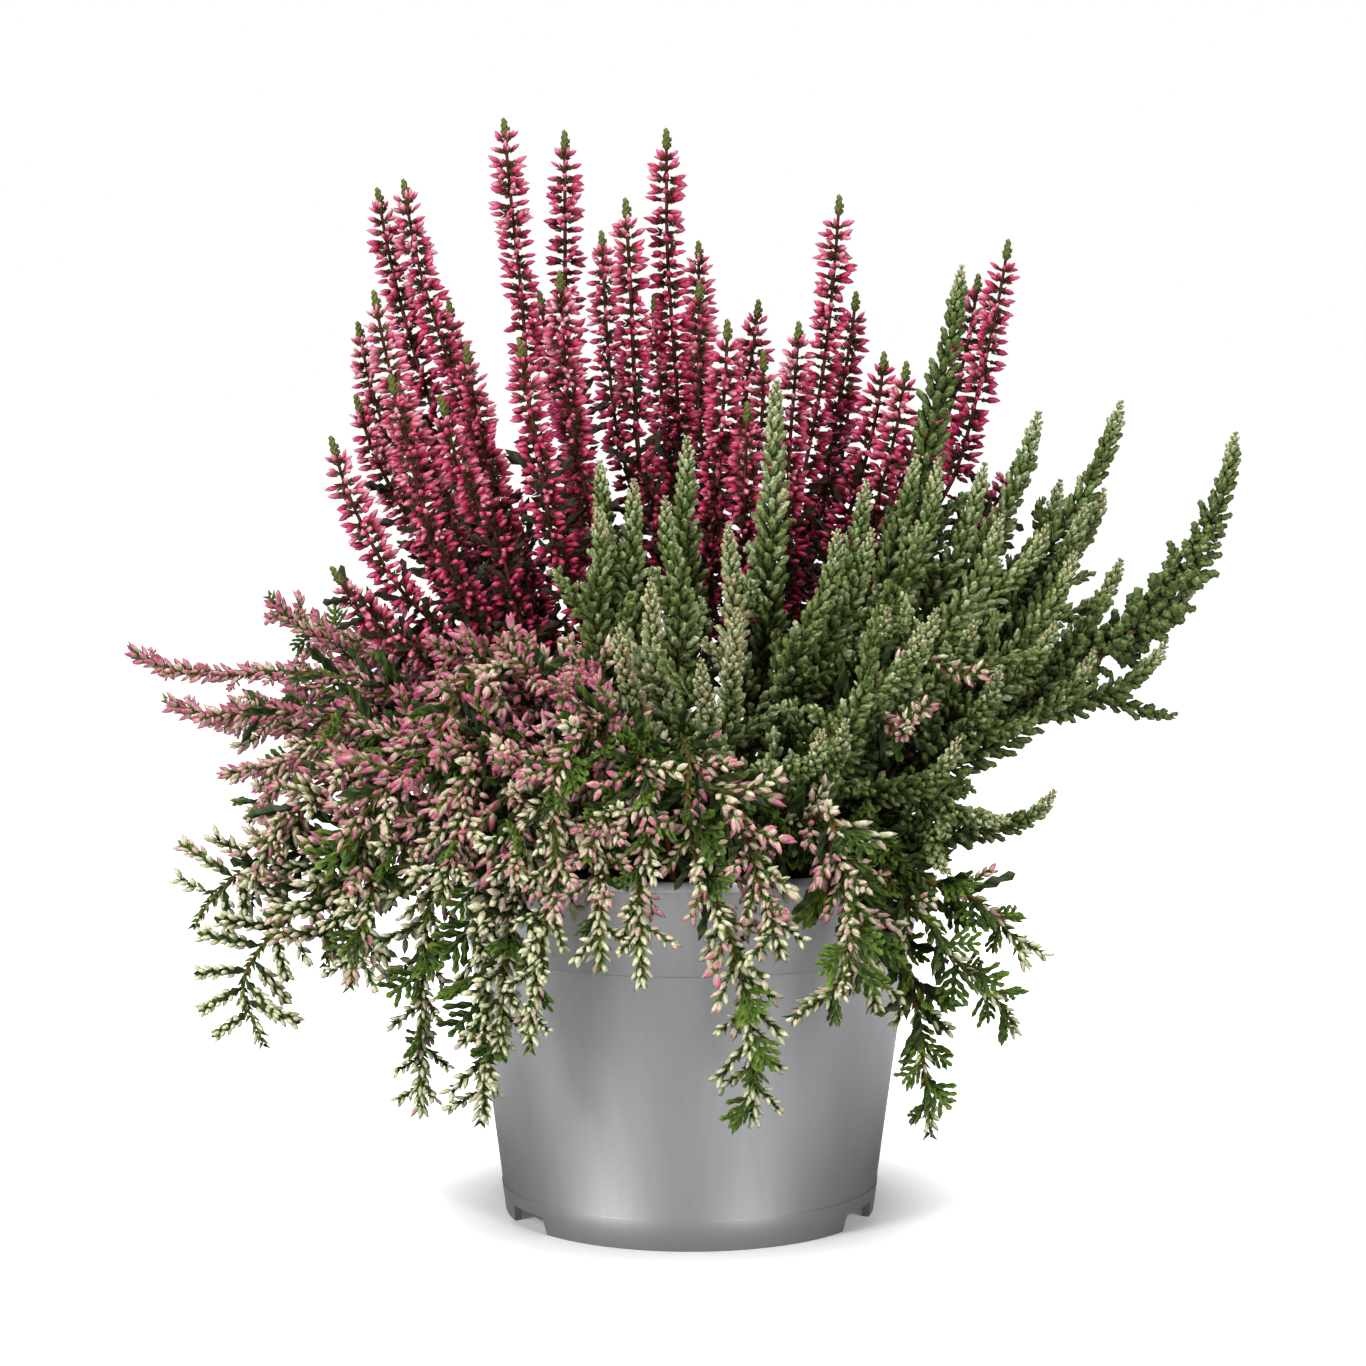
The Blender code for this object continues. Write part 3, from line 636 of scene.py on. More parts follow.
class Way:
    """A shoot's line, read by distance from its start, with a steady frame along it."""

    def __init__(self, points):
        steps = np.linalg.norm(np.diff(points, axis=0), axis=1)
        self.marks = np.concatenate([[0.0], np.cumsum(steps)])
        self.length = self.marks[-1]
        self.points = points
        self.along = units(np.gradient(points, axis=0))
        side = np.cross(self.along[0], UP + 0.3)
        sides = []
        for heading in self.along:
            side = unit(side - heading * (side @ heading))
            sides.append(side)
        self.side = np.array(sides)

    def read(self, distances):
        """Points, headings and two directions across the way at these distances."""
        at = read_rows(distances, self.marks, self.points)
        along = units(read_rows(distances, self.marks, self.along))
        side = read_rows(distances, self.marks, self.side)
        side = units(side - along * (side * along).sum(axis=1, keepdims=True))
        return at, along, side, np.cross(along, side)


# Small shapes that are copied along the shoots


def rolled_sheet(rings, sides, corner, chart, sort, smooth=True):
    """A sheet rolled into a tube that its end rings close, placed and painted by ring and side."""
    bm = bmesh.new()
    bmesh.ops.create_grid(bm, x_segments=rings, y_segments=sides, size=0.5)
    layer = bm.loops.layers.uv.new(CHART)
    low, high = STRIPS[sort]
    places = {
        vert: (round((vert.co.x + 0.5) * rings), round((vert.co.y + 0.5) * sides))
        for vert in bm.verts
    }
    for face in bm.faces:
        face.smooth = smooth
        face.material_index = sort
        for loop in face.loops:
            along, tone = chart(*places[loop.vert])
            loop[layer].uv = (low + (high - low) * along, tone)
    for vert, (ring, side) in places.items():
        vert.co = corner(ring, side % sides)
    bmesh.ops.remove_doubles(bm, verts=bm.verts, dist=WELD)
    bmesh.ops.recalc_face_normals(bm, faces=bm.faces)
    return bm


def on_circle(radius, share, height):
    angle = 2 * math.pi * share
    return (radius * math.cos(angle), radius * math.sin(angle), height)


def bud_mesh(sides, profile):
    """A closed bud from 0 to 1 up Z: its sepals are ridges, lighter down their edges."""
    rings = [(0.0, 0.0), *profile, (1.0, 0.0)]

    def corner(ring, side):
        height, radius = rings[ring]
        return on_circle(radius, side / sides, height)

    def chart(ring, side):
        return rings[ring][0], ROUND_TONES * (side % 2)

    return rolled_sheet(len(rings) - 1, sides, corner, chart, BUD)


def scaly_mesh(rings, sides, girth, deep, bend=0.0, sweep=0.0, smooth=False):
    """A leafy rod from 0 to 1 up Z: its alternate corners stand out as the tips of scale leaves, and the
    corners between them and the rod's foot are darker, painted shade.
    """

    def corner(ring, side):
        height = ring / rings
        out = (ring + side) % 2
        radius = 0.0 if ring in (0, rings) else girth(height) * (1.0 if out else deep)
        lift = sweep if out and 0 < ring < rings else 0.0
        x, y, z = on_circle(radius, side / sides, height + lift)
        return (x + bend * height**2, y, z)

    def chart(ring, side):
        height = ring / rings
        # Standing corners, the tips of the scale leaves, take the lighter outer colours. Recessed
        # corners and the foot of the rod take the dark inner ones: painted shade between the leaves and
        # at the rod's foot.
        standing = (ring + side) % 2 or ring == rings
        along = 0.35 + 0.6 * height if standing else 0.05 + 0.2 * height
        return along, ROUND_TONES * (0.5 + 0.5 * math.cos(2 * math.pi * side / sides))

    return rolled_sheet(rings, sides, corner, chart, LEAF, smooth)


def pointed_mesh(sort):
    """A pointed scale leaf or a thin stalk, from 0 to 1 up Z."""
    bm = bmesh.new()
    bmesh.ops.create_cone(bm, cap_ends=True, segments=3, radius1=0.5, radius2=0.0, depth=1.0)
    bmesh.ops.translate(bm, verts=bm.verts, vec=(0.0, 0.0, 0.5))
    layer = bm.loops.layers.uv.new(CHART)
    low, high = STRIPS[sort]
    for face in bm.faces:
        face.material_index = sort
        for loop in face.loops:
            x, _, z = loop.vert.co
            loop[layer].uv = (low + (high - low) * z, ROUND_TONES * (0.5 + x))
    return bm


def turned_to(headings, rolls, widths, lengths, places):
    """Matrices that set a shape's Z along each heading, rolled about it, as 3 by 4 arrays."""
    headings = units(headings)
    level = np.abs(headings[:, 2:]) < 0.95
    across = units(np.cross(np.where(level, UP, (1.0, 0.0, 0.0)), headings))
    other = np.cross(headings, across)
    cosine, sine = np.cos(rolls)[:, None], np.sin(rolls)[:, None]
    x_axes = (across * cosine + other * sine) * widths[:, None]
    y_axes = (other * cosine - across * sine) * widths[:, None]
    return np.stack([x_axes, y_axes, headings * lengths[:, None], places], axis=2)


class Shape:
    """A small form that is copied many times, with its own places in the colour chart."""

    def __init__(self, name, bm):
        self.mesh = bpy.data.meshes.new(name)
        bm.to_mesh(self.mesh)
        bm.free()
        self.corners = np.empty(len(self.mesh.vertices) * 3)
        self.mesh.vertices.foreach_get("co", self.corners)
        self.corners = self.corners.reshape(-1, 3)
        self.chart = np.empty(len(self.mesh.loops) * 2)
        self.mesh.uv_layers[CHART].uv.foreach_get("vector", self.chart)
        self.chart = self.chart.reshape(-1, 2)

    def add_to(self, bm, matrices, lifts):
        """Adds a copy at each matrix, its colours lifted up the chart."""
        charted = self.chart.copy()
        for matrix, lift in zip(matrices, lifts):
            corners = self.corners @ matrix[:, :3].T + matrix[:, 3]
            charted[:, 1] = self.chart[:, 1] + lift
            self.mesh.vertices.foreach_set("co", corners.ravel())
            self.mesh.uv_layers[CHART].uv.foreach_set("vector", charted.ravel())
            bm.from_mesh(self.mesh)

    def add_one(self, bm, place, heading, width, length, roll=0.0, tone=0.0):
        """Adds one copy to a bigger shape, with its own tone among that shape's parts."""
        ones = [np.array([value], float) for value in (heading, roll, width, length, place)]
        self.add_to(bm, turned_to(*ones), [PART_TONES * tone])


def swelling(least, more):
    """Girth of a rod that is thickest half way up."""
    return lambda height: least + more * math.sin(math.pi * height)


@functools.cache
def shapes():
    """The simple shapes that the heathers are dressed with."""
    full = [(0.12, 0.34), (0.42, 0.50), (0.76, 0.33)]
    plain = [(0.26, 0.47), (0.66, 0.42)]
    made = {
        "bud": bud_mesh(4, full),
        "small_bud": bud_mesh(4, plain),
        "leaf": pointed_mesh(LEAF),
        "stalk": pointed_mesh(BARK),
        "rod": scaly_mesh(5, 4, swelling(0.36, 0.2), 0.56, sweep=0.05),
        "long_rod": scaly_mesh(9, 4, lambda height: 0.52 - 0.1 * height, 0.52, sweep=0.04),
    }
    return {name: Shape(name, bm) for name, bm in made.items()}


@functools.cache
def variants(make, seeds, *details):
    """One shape from its maker for each seed."""
    return [make(seed, *details) for seed in seeds]


def out_from(angle, rise=0.0):
    """A direction out from Z at this angle, rising by this much."""
    return np.array([math.cos(angle), math.sin(angle), rise])


def crimson_cluster(seed, bud):
    """A short stalk out of the stem with closed buds that sit in dark bracts."""
    draw = random.Random(seed)
    bm = bmesh.new()
    count = BUDS_IN_CLUSTERS[seed]
    stalk = draw.uniform(1.2, 2.0) * MM
    shapes()["stalk"].add_one(bm, (0, 0, -0.5 * MM), UP, 1.1 * MM, stalk + 1.5 * MM)
    start = draw.uniform(0.0, 2 * math.pi)
    for index in range(count):
        angle = start + 2 * math.pi * index / count + draw.uniform(-0.3, 0.3)
        apart = draw.uniform(0.32, 0.55) if count > 1 else draw.uniform(0.0, 0.2)
        heading = unit(out_from(angle) * apart + UP)
        foot = UP * stalk * draw.uniform(0.7, 1.0) + heading * 0.2 * MM
        size = draw.uniform(3.9, 4.9) * MM
        width, roll, tone = draw.uniform(1.8, 2.15) * MM, draw.uniform(0, 3), draw.random()
        shapes()[bud].add_one(bm, foot, heading, width, size, roll, tone)
        for turn in range(2):
            spin = angle + math.pi * turn + draw.uniform(-0.5, 0.5)
            bract = heading + out_from(spin) * 0.5
            place = foot + out_from(spin) * 0.35 * MM - heading * 0.7 * MM
            shapes()["leaf"].add_one(bm, place, bract, 1.5 * MM, 2.2 * MM, spin, draw.random())
    return Shape(f"crimson_cluster_{seed}", bm)


def leafy_tip(seed):
    """The knobbly green end of a crimson spike, 7 mm long."""
    draw = random.Random(seed)
    bm = bmesh.new()
    rod = Shape("tip_rod", scaly_mesh(
        8, 6, lambda height: 0.30 + 0.20 * math.sin(math.pi * min(1.0, 0.15 + 0.9 * height)),
        0.70, sweep=0.04,
    ))
    rod.add_one(bm, (0, 0, 0), UP, 2.6 * MM, 7 * MM, 0.0, 0.8)
    for index in range(6):
        angle = index * math.pi / 2 + (index // 2) * 0.8
        place = UP * (0.3 + 0.8 * (index // 2)) * MM
        size = draw.uniform(2.0, 2.8) * MM
        shapes()["rod"].add_one(
            bm, place, out_from(angle, 1.4), 1.4 * MM, size, angle, draw.random()
        )
    return Shape("leafy_tip", bm)


def club(seed, sides):
    """A rounded knob of tiny scale leaves, one unit long, wider towards its end."""
    bend = random.Random(seed).uniform(-0.1, 0.15)
    return Shape(f"club_{seed}", scaly_mesh(
        4, sides, lambda height: 0.16 + 0.34 * math.sin(math.pi * (0.08 + 0.80 * height)) ** 0.9,
        0.66, bend=bend, sweep=0.10, smooth=True,
    ))


def small_foxtail(seed):
    """A short leafy side shoot, 20 mm long, with clubs all round."""
    draw = random.Random(seed)
    bm = bmesh.new()
    shapes()["rod"].add_one(bm, (0, 0, 0), UP, 2.6 * MM, 12 * MM, 0.0, 0.3)
    shapes()["rod"].add_one(bm, (0, 0, 11 * MM), UP, 2.2 * MM, 9 * MM, 0.0, 0.9)
    for index in range(20):
        share = index / 20
        angle = index * GOLDEN_TURN + draw.uniform(-0.3, 0.3)
        size = (5.0 - 2.9 * share) * draw.uniform(0.85, 1.15) * MM
        variants(*PLAIN_CLUBS)[index % 3].add_one(
            bm, UP * (0.08 + 0.85 * share) * 20 * MM + out_from(angle) * 0.6 * MM,
            out_from(angle, 1.25 + 0.9 * share), 1.3 * MM + 0.25 * size, size, angle,
            share * draw.uniform(0.5, 1.0),
        )
    return Shape(f"small_foxtail_{seed}", bm)


def long_club(seed):
    """A leafy branchlet of the arching branch with knobs at its sides and end."""
    draw = random.Random(seed)
    bm = bmesh.new()
    shapes()["stalk"].add_one(bm, (0, 0, 0), UP, 0.9 * MM, 6 * MM, 0.0, 0.5)
    for index in range(6):
        share = index / 5
        angle = index * 2.1 + draw.uniform(-0.4, 0.4)
        heading = out_from(angle) * 0.75 * (1.0 - share) + UP
        variants(*ROUND_CLUBS)[index % 3].add_one(
            bm, UP * share * 5 * MM, heading, draw.uniform(2.2, 2.8) * MM,
            draw.uniform(2.6, 3.4) * MM, angle, draw.random(),
        )
    return Shape(f"long_club_{seed}", bm)


def budded_twig(seed, scale_leaves, bud_size):
    """A twig, 11 mm long, with scale leaves and pairs of closed buds that point forward."""
    draw = random.Random(seed)
    bm = bmesh.new()
    bend = draw.uniform(-0.2, 0.2)

    def at(share):
        return np.array([bend * TWIG * share**2, 0.0, TWIG * share])

    shapes()["stalk"].add_one(bm, (0, 0, 0), (bend, 0, 1), 0.8 * MM, TWIG, 0.0, 0.4)
    for index in range(scale_leaves):
        share = (index + 0.4) / scale_leaves
        angle = index * math.pi / 2 + draw.uniform(-0.3, 0.3)
        size = draw.uniform(2.2, 3.0) * MM
        heading = out_from(angle, draw.uniform(0.9, 1.6))
        shapes()["leaf"].add_one(bm, at(share), heading, 1.4 * MM, size, angle, draw.random())
    for whorl in range(4):
        share = 0.30 + (0.97 - 0.30) * whorl / 3
        for index in range(2 if whorl < 3 else 3):
            angle = whorl * 1.57 + index * math.pi + draw.uniform(-0.4, 0.4)
            apart = draw.uniform(0.7, 1.1) * (1.2 - 0.6 * share)
            place, heading = at(share) + out_from(angle) * 0.3 * MM, out_from(angle) * apart + UP
            size = draw.uniform(3.5, 4.6) * MM * bud_size
            width = draw.uniform(1.6, 1.95) * MM * bud_size
            shapes()["small_bud"].add_one(bm, place, heading, width, size, angle, draw.random())
    return Shape(f"budded_twig_{seed}", bm)


def comb_twig(seed):
    """A thick scaly twig with small pale buds that hug it, most of them near its end."""
    draw = random.Random(seed)
    bm = bmesh.new()
    long, whorls = 18 * MM, 6
    shapes()["long_rod"].add_one(bm, (0, 0, 0), UP, 3.2 * MM, long, 0.0, 0.2)
    for whorl in range(whorls):
        share = 1.0 - 0.78 * (whorl / whorls) ** 1.2
        for index in range(3):
            angle = whorl * 1.1 + index * 2.1 + draw.uniform(-0.3, 0.3)
            heading = out_from(angle) * draw.uniform(0.4, 0.7) + UP
            place = UP * (share * long - 3 * MM) + out_from(angle) * 0.9 * MM
            size = draw.uniform(2.8, 3.8) * MM
            shapes()["small_bud"].add_one(bm, place, heading, 1.7 * MM, size, angle, draw.random())
    return Shape(f"comb_twig_{seed}", bm)


def fern_twig(seed):
    """A flat green twig with pairs of feathery branchlets."""
    draw = random.Random(seed)
    bm = bmesh.new()
    long, pairs = 12 * MM, 3
    shapes()["long_rod"].add_one(bm, (0, 0, 0), UP, 2.2 * MM, long, 0.0, 0.6)
    for index in range(2 * pairs):
        share = 0.10 + 0.7 * (index // 2) / pairs
        side = math.pi * (index % 2) + draw.uniform(-0.35, 0.35)
        size = long * (0.72 - 0.42 * share) * draw.uniform(0.8, 1.2)
        heading = out_from(side, draw.uniform(0.9, 1.3))
        shapes()["rod"].add_one(
            bm, UP * long * share, heading, 1.8 * MM, size, side, draw.random()
        )
    return Shape(f"fern_twig_{seed}", bm)


def shaded_twig(seed):
    """A plain leafy twig for the inside of the bush."""
    bend = random.Random(seed).uniform(-0.7, 0.7)
    rod = Shape("shaded_rod", scaly_mesh(6, 4, swelling(0.36, 0.18), 0.5, bend=bend, sweep=0.06))
    bm = bmesh.new()
    rod.add_one(bm, (0, 0, 0), UP, 2.7 * MM, TWIG)
    return Shape(f"shaded_twig_{seed}", bm)


# Variants of the bigger shapes: their maker, its seeds and its other values
CLUSTERS = {bud: (crimson_cluster, range(8), bud) for bud in ("bud", "small_bud")}
LEAFY_TIP = (leafy_tip, (5,))
ROUND_CLUBS = (club, range(3), 6)
PLAIN_CLUBS = (club, range(3), 4)
SMALL_FOXTAILS = (small_foxtail, range(3))
LONG_CLUBS = (long_club, range(3))
BUDDED_TWIGS = (budded_twig, range(6), 9, 1.0)
LEAFY_TWIGS = (budded_twig, range(10, 16), 16, 0.84)
COMB_TWIGS = (comb_twig, range(20, 23))
FERN_TWIGS = (fern_twig, range(3))
SHADED_TWIGS = (shaded_twig, range(30, 34))


# Materials


def feed(tree, node, inputs):
    """Gives each input of a node a value of its own, or the output that feeds it."""
    for name, value in inputs.items():
        if isinstance(value, bpy.types.NodeSocket):
            tree.links.new(value, node.inputs[name])
        else:
            node.inputs[name].default_value = value


def add_node(tree, kind, inputs=None, **settings):
    """Adds a node with its settings and inputs."""
    made = tree.nodes.new(f"ShaderNode{kind}")
    for name, value in settings.items():
        setattr(made, name, value)
    feed(tree, made, inputs or {})
    return made


def ranged(tree, value, low, high, first=0.0, last=1.0, **settings):
    """The value turned from low to high into first to last."""
    inputs = {"Value": value, "From Min": low, "From Max": high, "To Min": first, "To Max": last}
    return add_node(tree, "MapRange", inputs, **settings).outputs["Result"]


def ramp(tree, value, stops):
    """The colour read at this value between (position, colour) stops."""
    made = add_node(tree, "ValToRGB", {"Fac": value})
    elements = made.color_ramp.elements
    while len(elements) < len(stops):
        elements.new(0.5)
    for element, (position, shade) in zip(elements, stops):
        element.position = position
        element.color = (*shade[:3], 1.0)
    return made.outputs["Color"]


def new_material(name):
    """A new material, its node tree and its shader."""
    made = bpy.data.materials.new(name)
    made.use_nodes = True
    return made, made.node_tree, made.node_tree.nodes["Principled BSDF"]


def node_group(name, inputs, outputs, build):
    """The shared group of this name, built the first time with sockets of these kinds."""
    if name not in bpy.data.node_groups:
        group = bpy.data.node_groups.new(name, "ShaderNodeTree")
        for in_out, sockets in (("INPUT", inputs), ("OUTPUT", outputs)):
            for socket, kind in sockets.items():
                group.interface.new_socket(socket, in_out=in_out, socket_type=f"NodeSocket{kind}")
        given = group.nodes.new("NodeGroupInput")
        feed(group, group.nodes.new("NodeGroupOutput"), build(group, given.outputs))
    return bpy.data.node_groups[name]


def chart_group():
    """A node group that reads how far along a shape and how light a copy a point is."""

    def build(group, given):
        chart = add_node(group, "UVMap", uv_map=CHART)
        parts = add_node(group, "SeparateXYZ", {"Vector": chart.outputs["UV"]})
        along = ranged(group, parts.outputs["X"], given["Strip start"], given["Strip end"])
        return {"Along": along, "Tone": parts.outputs["Y"]}

    inputs = {"Strip start": "Float", "Strip end": "Float"}
    return node_group("growth_chart", inputs, {"Along": "Float", "Tone": "Float"}, build)


def grain_group():
    """A node group that makes a colour uneven over a length of one over its scale."""

    def build(group, given):
        place = add_node(group, "TexCoord").outputs["Object"]
        grain = add_node(group, "TexNoise", {"Vector": place, "Scale": given["Scale"], "Detail": 1.0})
        amount = ranged(
            group, grain.outputs["Fac"], 0.35, 0.65, given["Darkest"], given["Lightest"]
        )
        product = add_node(
            group, "VectorMath", {"Vector": given["Color"], "Scale": amount}, operation="SCALE"
        )
        return {"Color": product.outputs["Vector"]}

    inputs = {"Color": "Color", "Scale": "Float", "Darkest": "Float", "Lightest": "Float"}
    return node_group("growth_grain", inputs, {"Color": "Color"}, build)


def growing_material(name, sort, inner, outer, roughness, turn=(0.0, 1.0), grain=(0.8, 1.2)):
    """Colours run from inner to outer along the growth, each picked from its tones."""
    made, tree, shader = new_material(name)
    start, end = STRIPS[sort]
    chart = add_node(
        tree, "Group", {"Strip start": start, "Strip end": end}, node_tree=chart_group()
    ).outputs
    mix = add_node(tree, "Mix", {
        "Factor": ranged(tree, chart["Along"], *turn, interpolation_type="SMOOTHSTEP"),
        "A": ramp(tree, chart["Tone"], inner),
        "B": ramp(tree, chart["Tone"], outer),
    }, data_type="RGBA")
    uneven = add_node(tree, "Group", {
        "Color": mix.outputs["Result"], "Scale": GRAIN_SCALE, "Darkest": grain[0], "Lightest": grain[1],
    }, node_tree=grain_group())
    feed(tree, shader, {
        "Base Color": uneven.outputs["Color"], "Roughness": roughness, "Specular IOR Level": 0.2,
    })
    return made


def mixed(first, second, share):
    return tuple(a + (b - a) * share for a, b in zip(first, second))


def bark_material(name, old, young):
    return growing_material(
        name, BARK, [(0.0, old), (1.0, young)], [(0.0, mixed(old, young, 0.5)), (1.0, young)], 0.7
    )


def plastic_material(settings):
    """Satin silver-grey plastic with faint streaks down the wall from the mould."""
    made, tree, shader = new_material("pot_plastic")
    place = add_node(tree, "TexCoord").outputs["Object"]
    stretch = add_node(tree, "Mapping", {"Vector": place, "Scale": (420.0, 420.0, 9.0)})
    streaks = add_node(
        tree, "TexNoise", {"Vector": stretch.outputs["Vector"], "Scale": 1.0, "Detail": 3.0}
    ).outputs["Fac"]
    grain = add_node(tree, "TexNoise", {"Vector": place, "Scale": 900.0}).outputs["Fac"]
    bump = add_node(tree, "Bump", {"Height": streaks, "Strength": 0.05, "Distance": 0.0002})
    dark = mixed(settings.plastic, (0, 0, 0), 0.05)
    rough = settings.roughness
    feed(tree, shader, {
        "Base Color": ramp(tree, streaks, [(0.3, dark), (0.7, settings.plastic)]),
        "Metallic": 0.95,
        "Roughness": ranged(tree, grain, 0.0, 1.0, rough - 0.04, rough + 0.06),
        "Normal": bump.outputs["Normal"],
    })
    return made


def peat_material(settings):
    """Dark wet peat with lighter dry fibres."""
    made, tree, shader = new_material("peat")
    place = add_node(tree, "TexCoord").outputs["Object"]
    lumps = add_node(tree, "TexNoise", {"Vector": place, "Scale": 700.0, "Detail": 6.0}).outputs["Fac"]
    bump = add_node(tree, "Bump", {"Height": lumps, "Strength": 0.8, "Distance": 0.0006})
    feed(tree, shader, {
        "Base Color": ramp(tree, lumps, [(0.42, settings.dark), (0.66, settings.light)]),
        "Roughness": 0.95,
        "Normal": bump.outputs["Normal"],
    })
    return made


# What a user would change


def colour(name, text, default):
    return FloatVectorProperty(
        name=name, description=text, default=default, subtype="COLOR", size=3, min=0.0, max=1.0
    )


def length(name, text, default):
    return FloatProperty(
        name=name, description=text, default=default, unit="LENGTH", precision=4, min=0.0
    )


def amount(name, text, default, most=100.0):
    return FloatProperty(name=name, description=text, default=default, min=0.0, max=most)


class PotSettings(bpy.types.PropertyGroup):
    """The plain nursery pot."""

    plastic: colour("Plastic", "Colour of the silver-grey plastic", (0.39, 0.39, 0.40))
    roughness: amount("Roughness", "How matt the plastic is", 0.47, 1.0)
    steps: IntProperty(name="Steps", description="Faces round the pot", default=120, min=24)


class PeatSettings(bpy.types.PropertyGroup):
    """The peat that fills the pot."""

    dark: colour("Dark", "Colour of wet peat", (0.008, 0.006, 0.004))
    light: colour("Light", "Colour of dry fibres", (0.045, 0.03, 0.018))
    roughness_height: length("Unevenness", "Height of the lumps on top", 2.0 * MM)


class CrimsonSettings(bpy.types.PropertyGroup):
    """The upright crimson spikes."""

    spacing: length("Whorl spacing", "Distance between rows of bud clusters", 3.1 * MM)
    leafy_tip: length("Leafy tip", "Length of the green end over the buds", 7 * MM)
    deep: colour("Deep", "Colour of buds in the shade of the bush", (0.32, 0.005, 0.036))
    pale: colour("Pale", "Colour of the palest buds", (0.58, 0.075, 0.175))
    blush: colour("Blush", "Colour of the ends of the palest buds", (0.72, 0.39, 0.45))
    bract: colour("Bract", "Colour of the bracts round the buds", (0.030, 0.022, 0.012))
    olive: colour("Olive", "Colour of the leafy tips", (0.16, 0.17, 0.035))


class GreyGreenSettings(bpy.types.PropertyGroup):
    """The leafy stems with grey-green foliage."""

    spacing: length("Club spacing", "Distance between whorls of leafy clubs", 2.8 * MM)
    club: length("Club length", "Length of the longest leafy clubs", 7.2 * MM)
    # Deep is painted shade: the colour between the scale leaves and low down the stems.
    deep: colour("Deep", "Colour between the scale leaves", (0.022, 0.038, 0.010))
    fresh: colour("Fresh", "Colour of the scale leaves", (0.152, 0.204, 0.056))
    frost: colour("Frost", "Colour of their pale edges", (0.40, 0.45, 0.26))
    beige: colour("Beige", "Colour of the dry tips", (0.42, 0.29, 0.18))


class PinkWhiteSettings(bpy.types.PropertyGroup):
    """The trailing sprays with cream and pink buds."""

    whorl: length("Whorl spacing", "Distance between whorls of buds along a shoot", 2.7 * MM)
    cream: colour("Cream", "Colour of the palest buds", (0.63, 0.64, 0.42))
    pink: colour("Pink", "Colour of the pinkest buds", (0.49, 0.145, 0.22))
    leaf_deep: colour("Deep leaf", "Colour of shaded leaves", (0.012, 0.028, 0.004))
    leaf_fresh: colour("Fresh leaf", "Colour of young leaves", (0.22, 0.36, 0.04))


class StageSettings(bpy.types.PropertyGroup):
    """Floor, light and camera."""

    floor: colour("Floor", "Colour of the floor", (0.92, 0.92, 0.92))
    floor_lift: amount("Floor lift", "Light added where the camera sees the near floor", 0.10)
    foot_bounce: amount("Foot bounce", "How light the floor at the foot is for the pot", 0.45)
    floor_bounce: amount("Floor bounce", "How light the near floor is for the pot over it", 0.05)
    far_bounce: amount("Far bounce", "How light the floor is for the pot further out", 1.3)
    plant_bounce: amount("Plant bounce", "Share of that light that reaches the plant", 0.3)
    sky: amount("Sky", "Strength of the light from all round", 0.19)
    key: amount("Key light", "Power of the main light, from the left", 43.5)
    fill: amount("Fill light", "Power of the light from the right", 14.3)
    top: amount("Top light", "Power of the light from above", 19.5)


class HeatherSettings(bpy.types.PropertyGroup):
    """Sizes and colours of the whole plant."""

    pot: PointerProperty(type=PotSettings)
    peat: PointerProperty(type=PeatSettings)
    crimson: PointerProperty(type=CrimsonSettings)
    grey_green: PointerProperty(type=GreyGreenSettings)
    pink_white: PointerProperty(type=PinkWhiteSettings)
    stage: PointerProperty(type=StageSettings)


def object_from(name, bm, materials):
    mesh = bpy.data.meshes.new(name)
    bm.to_mesh(mesh)
    bm.free()
    for material in materials:
        mesh.materials.append(material)
    made = bpy.data.objects.new(name, mesh)
    bpy.context.scene.collection.objects.link(made)
    return made


def stand_in_for(piece, node):
    """Rides the piece on the one body, in place of its solid."""
    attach(piece, "root")
    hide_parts(node)


# Dressing of the shoots


def add_mesh(bm, other):
    """Moves the second bmesh into the first."""
    mesh = bpy.data.meshes.new("part")
    other.to_mesh(mesh)
    other.free()
    bm.from_mesh(mesh)
    bpy.data.meshes.remove(mesh)


def add_stem_tube(bm, way, radii, tone, sides=5, step=4 * MM):
    """The bare stem along a way, tapering through these radii."""
    rings = max(4, round(way.length / step))
    shares = np.linspace(0.0, 1.0, rings + 1)
    at, _, side, other = way.read(shares * way.length)
    girth = np.interp(shares, np.linspace(0.0, 1.0, len(radii)), radii)

    def corner(ring, index):
        radius = 0.0 if ring in (0, rings) else girth[ring]
        x, y, _ = on_circle(radius, index / sides, 0.0)
        return at[ring] + x * side[ring] + y * other[ring]

    def chart(ring, index):
        return ring / rings, tone + ROUND_TONES * index / sides

    add_mesh(bm, rolled_sheet(rings, sides, corner, chart, BARK))


def add_leafy_column(bm, way, start, end, girths, tones, step=1.0 * MM, sides=4):
    """A column of scale leaves along a way: alternate corners stand out as leaf tips."""
    rings = max(4, round((end - start) / step))
    shares = np.linspace(0.0, 1.0, rings + 1)
    at, along, side, other = way.read(start + shares * (end - start))
    girth = np.interp(shares, np.linspace(0.0, 1.0, len(girths)), girths)
    tone = np.interp(shares, np.linspace(0.0, 1.0, len(tones)), tones)

    def corner(ring, index):
        out = (ring + index) % 2
        radius = 0.0 if ring in (0, rings) else girth[ring] * (1.0 if out else 0.6)
        x, y, _ = on_circle(radius, index / sides + 0.02 * ring, 0.0)
        return at[ring] + x * side[ring] + y * other[ring] + along[ring] * (0.6 * step * out)

    def chart(ring, index):
        # Recessed corners take the dark inner colours, painted shade between the scale leaves. Standing
        # corners take the light outer colours.
        standing = (ring + index) % 2
        return (0.95 if standing else 0.1), COPY_TONES * tone[ring] + ROUND_TONES * (index % 2)

    add_mesh(bm, rolled_sheet(rings, sides, corner, chart, LEAF, smooth=False))


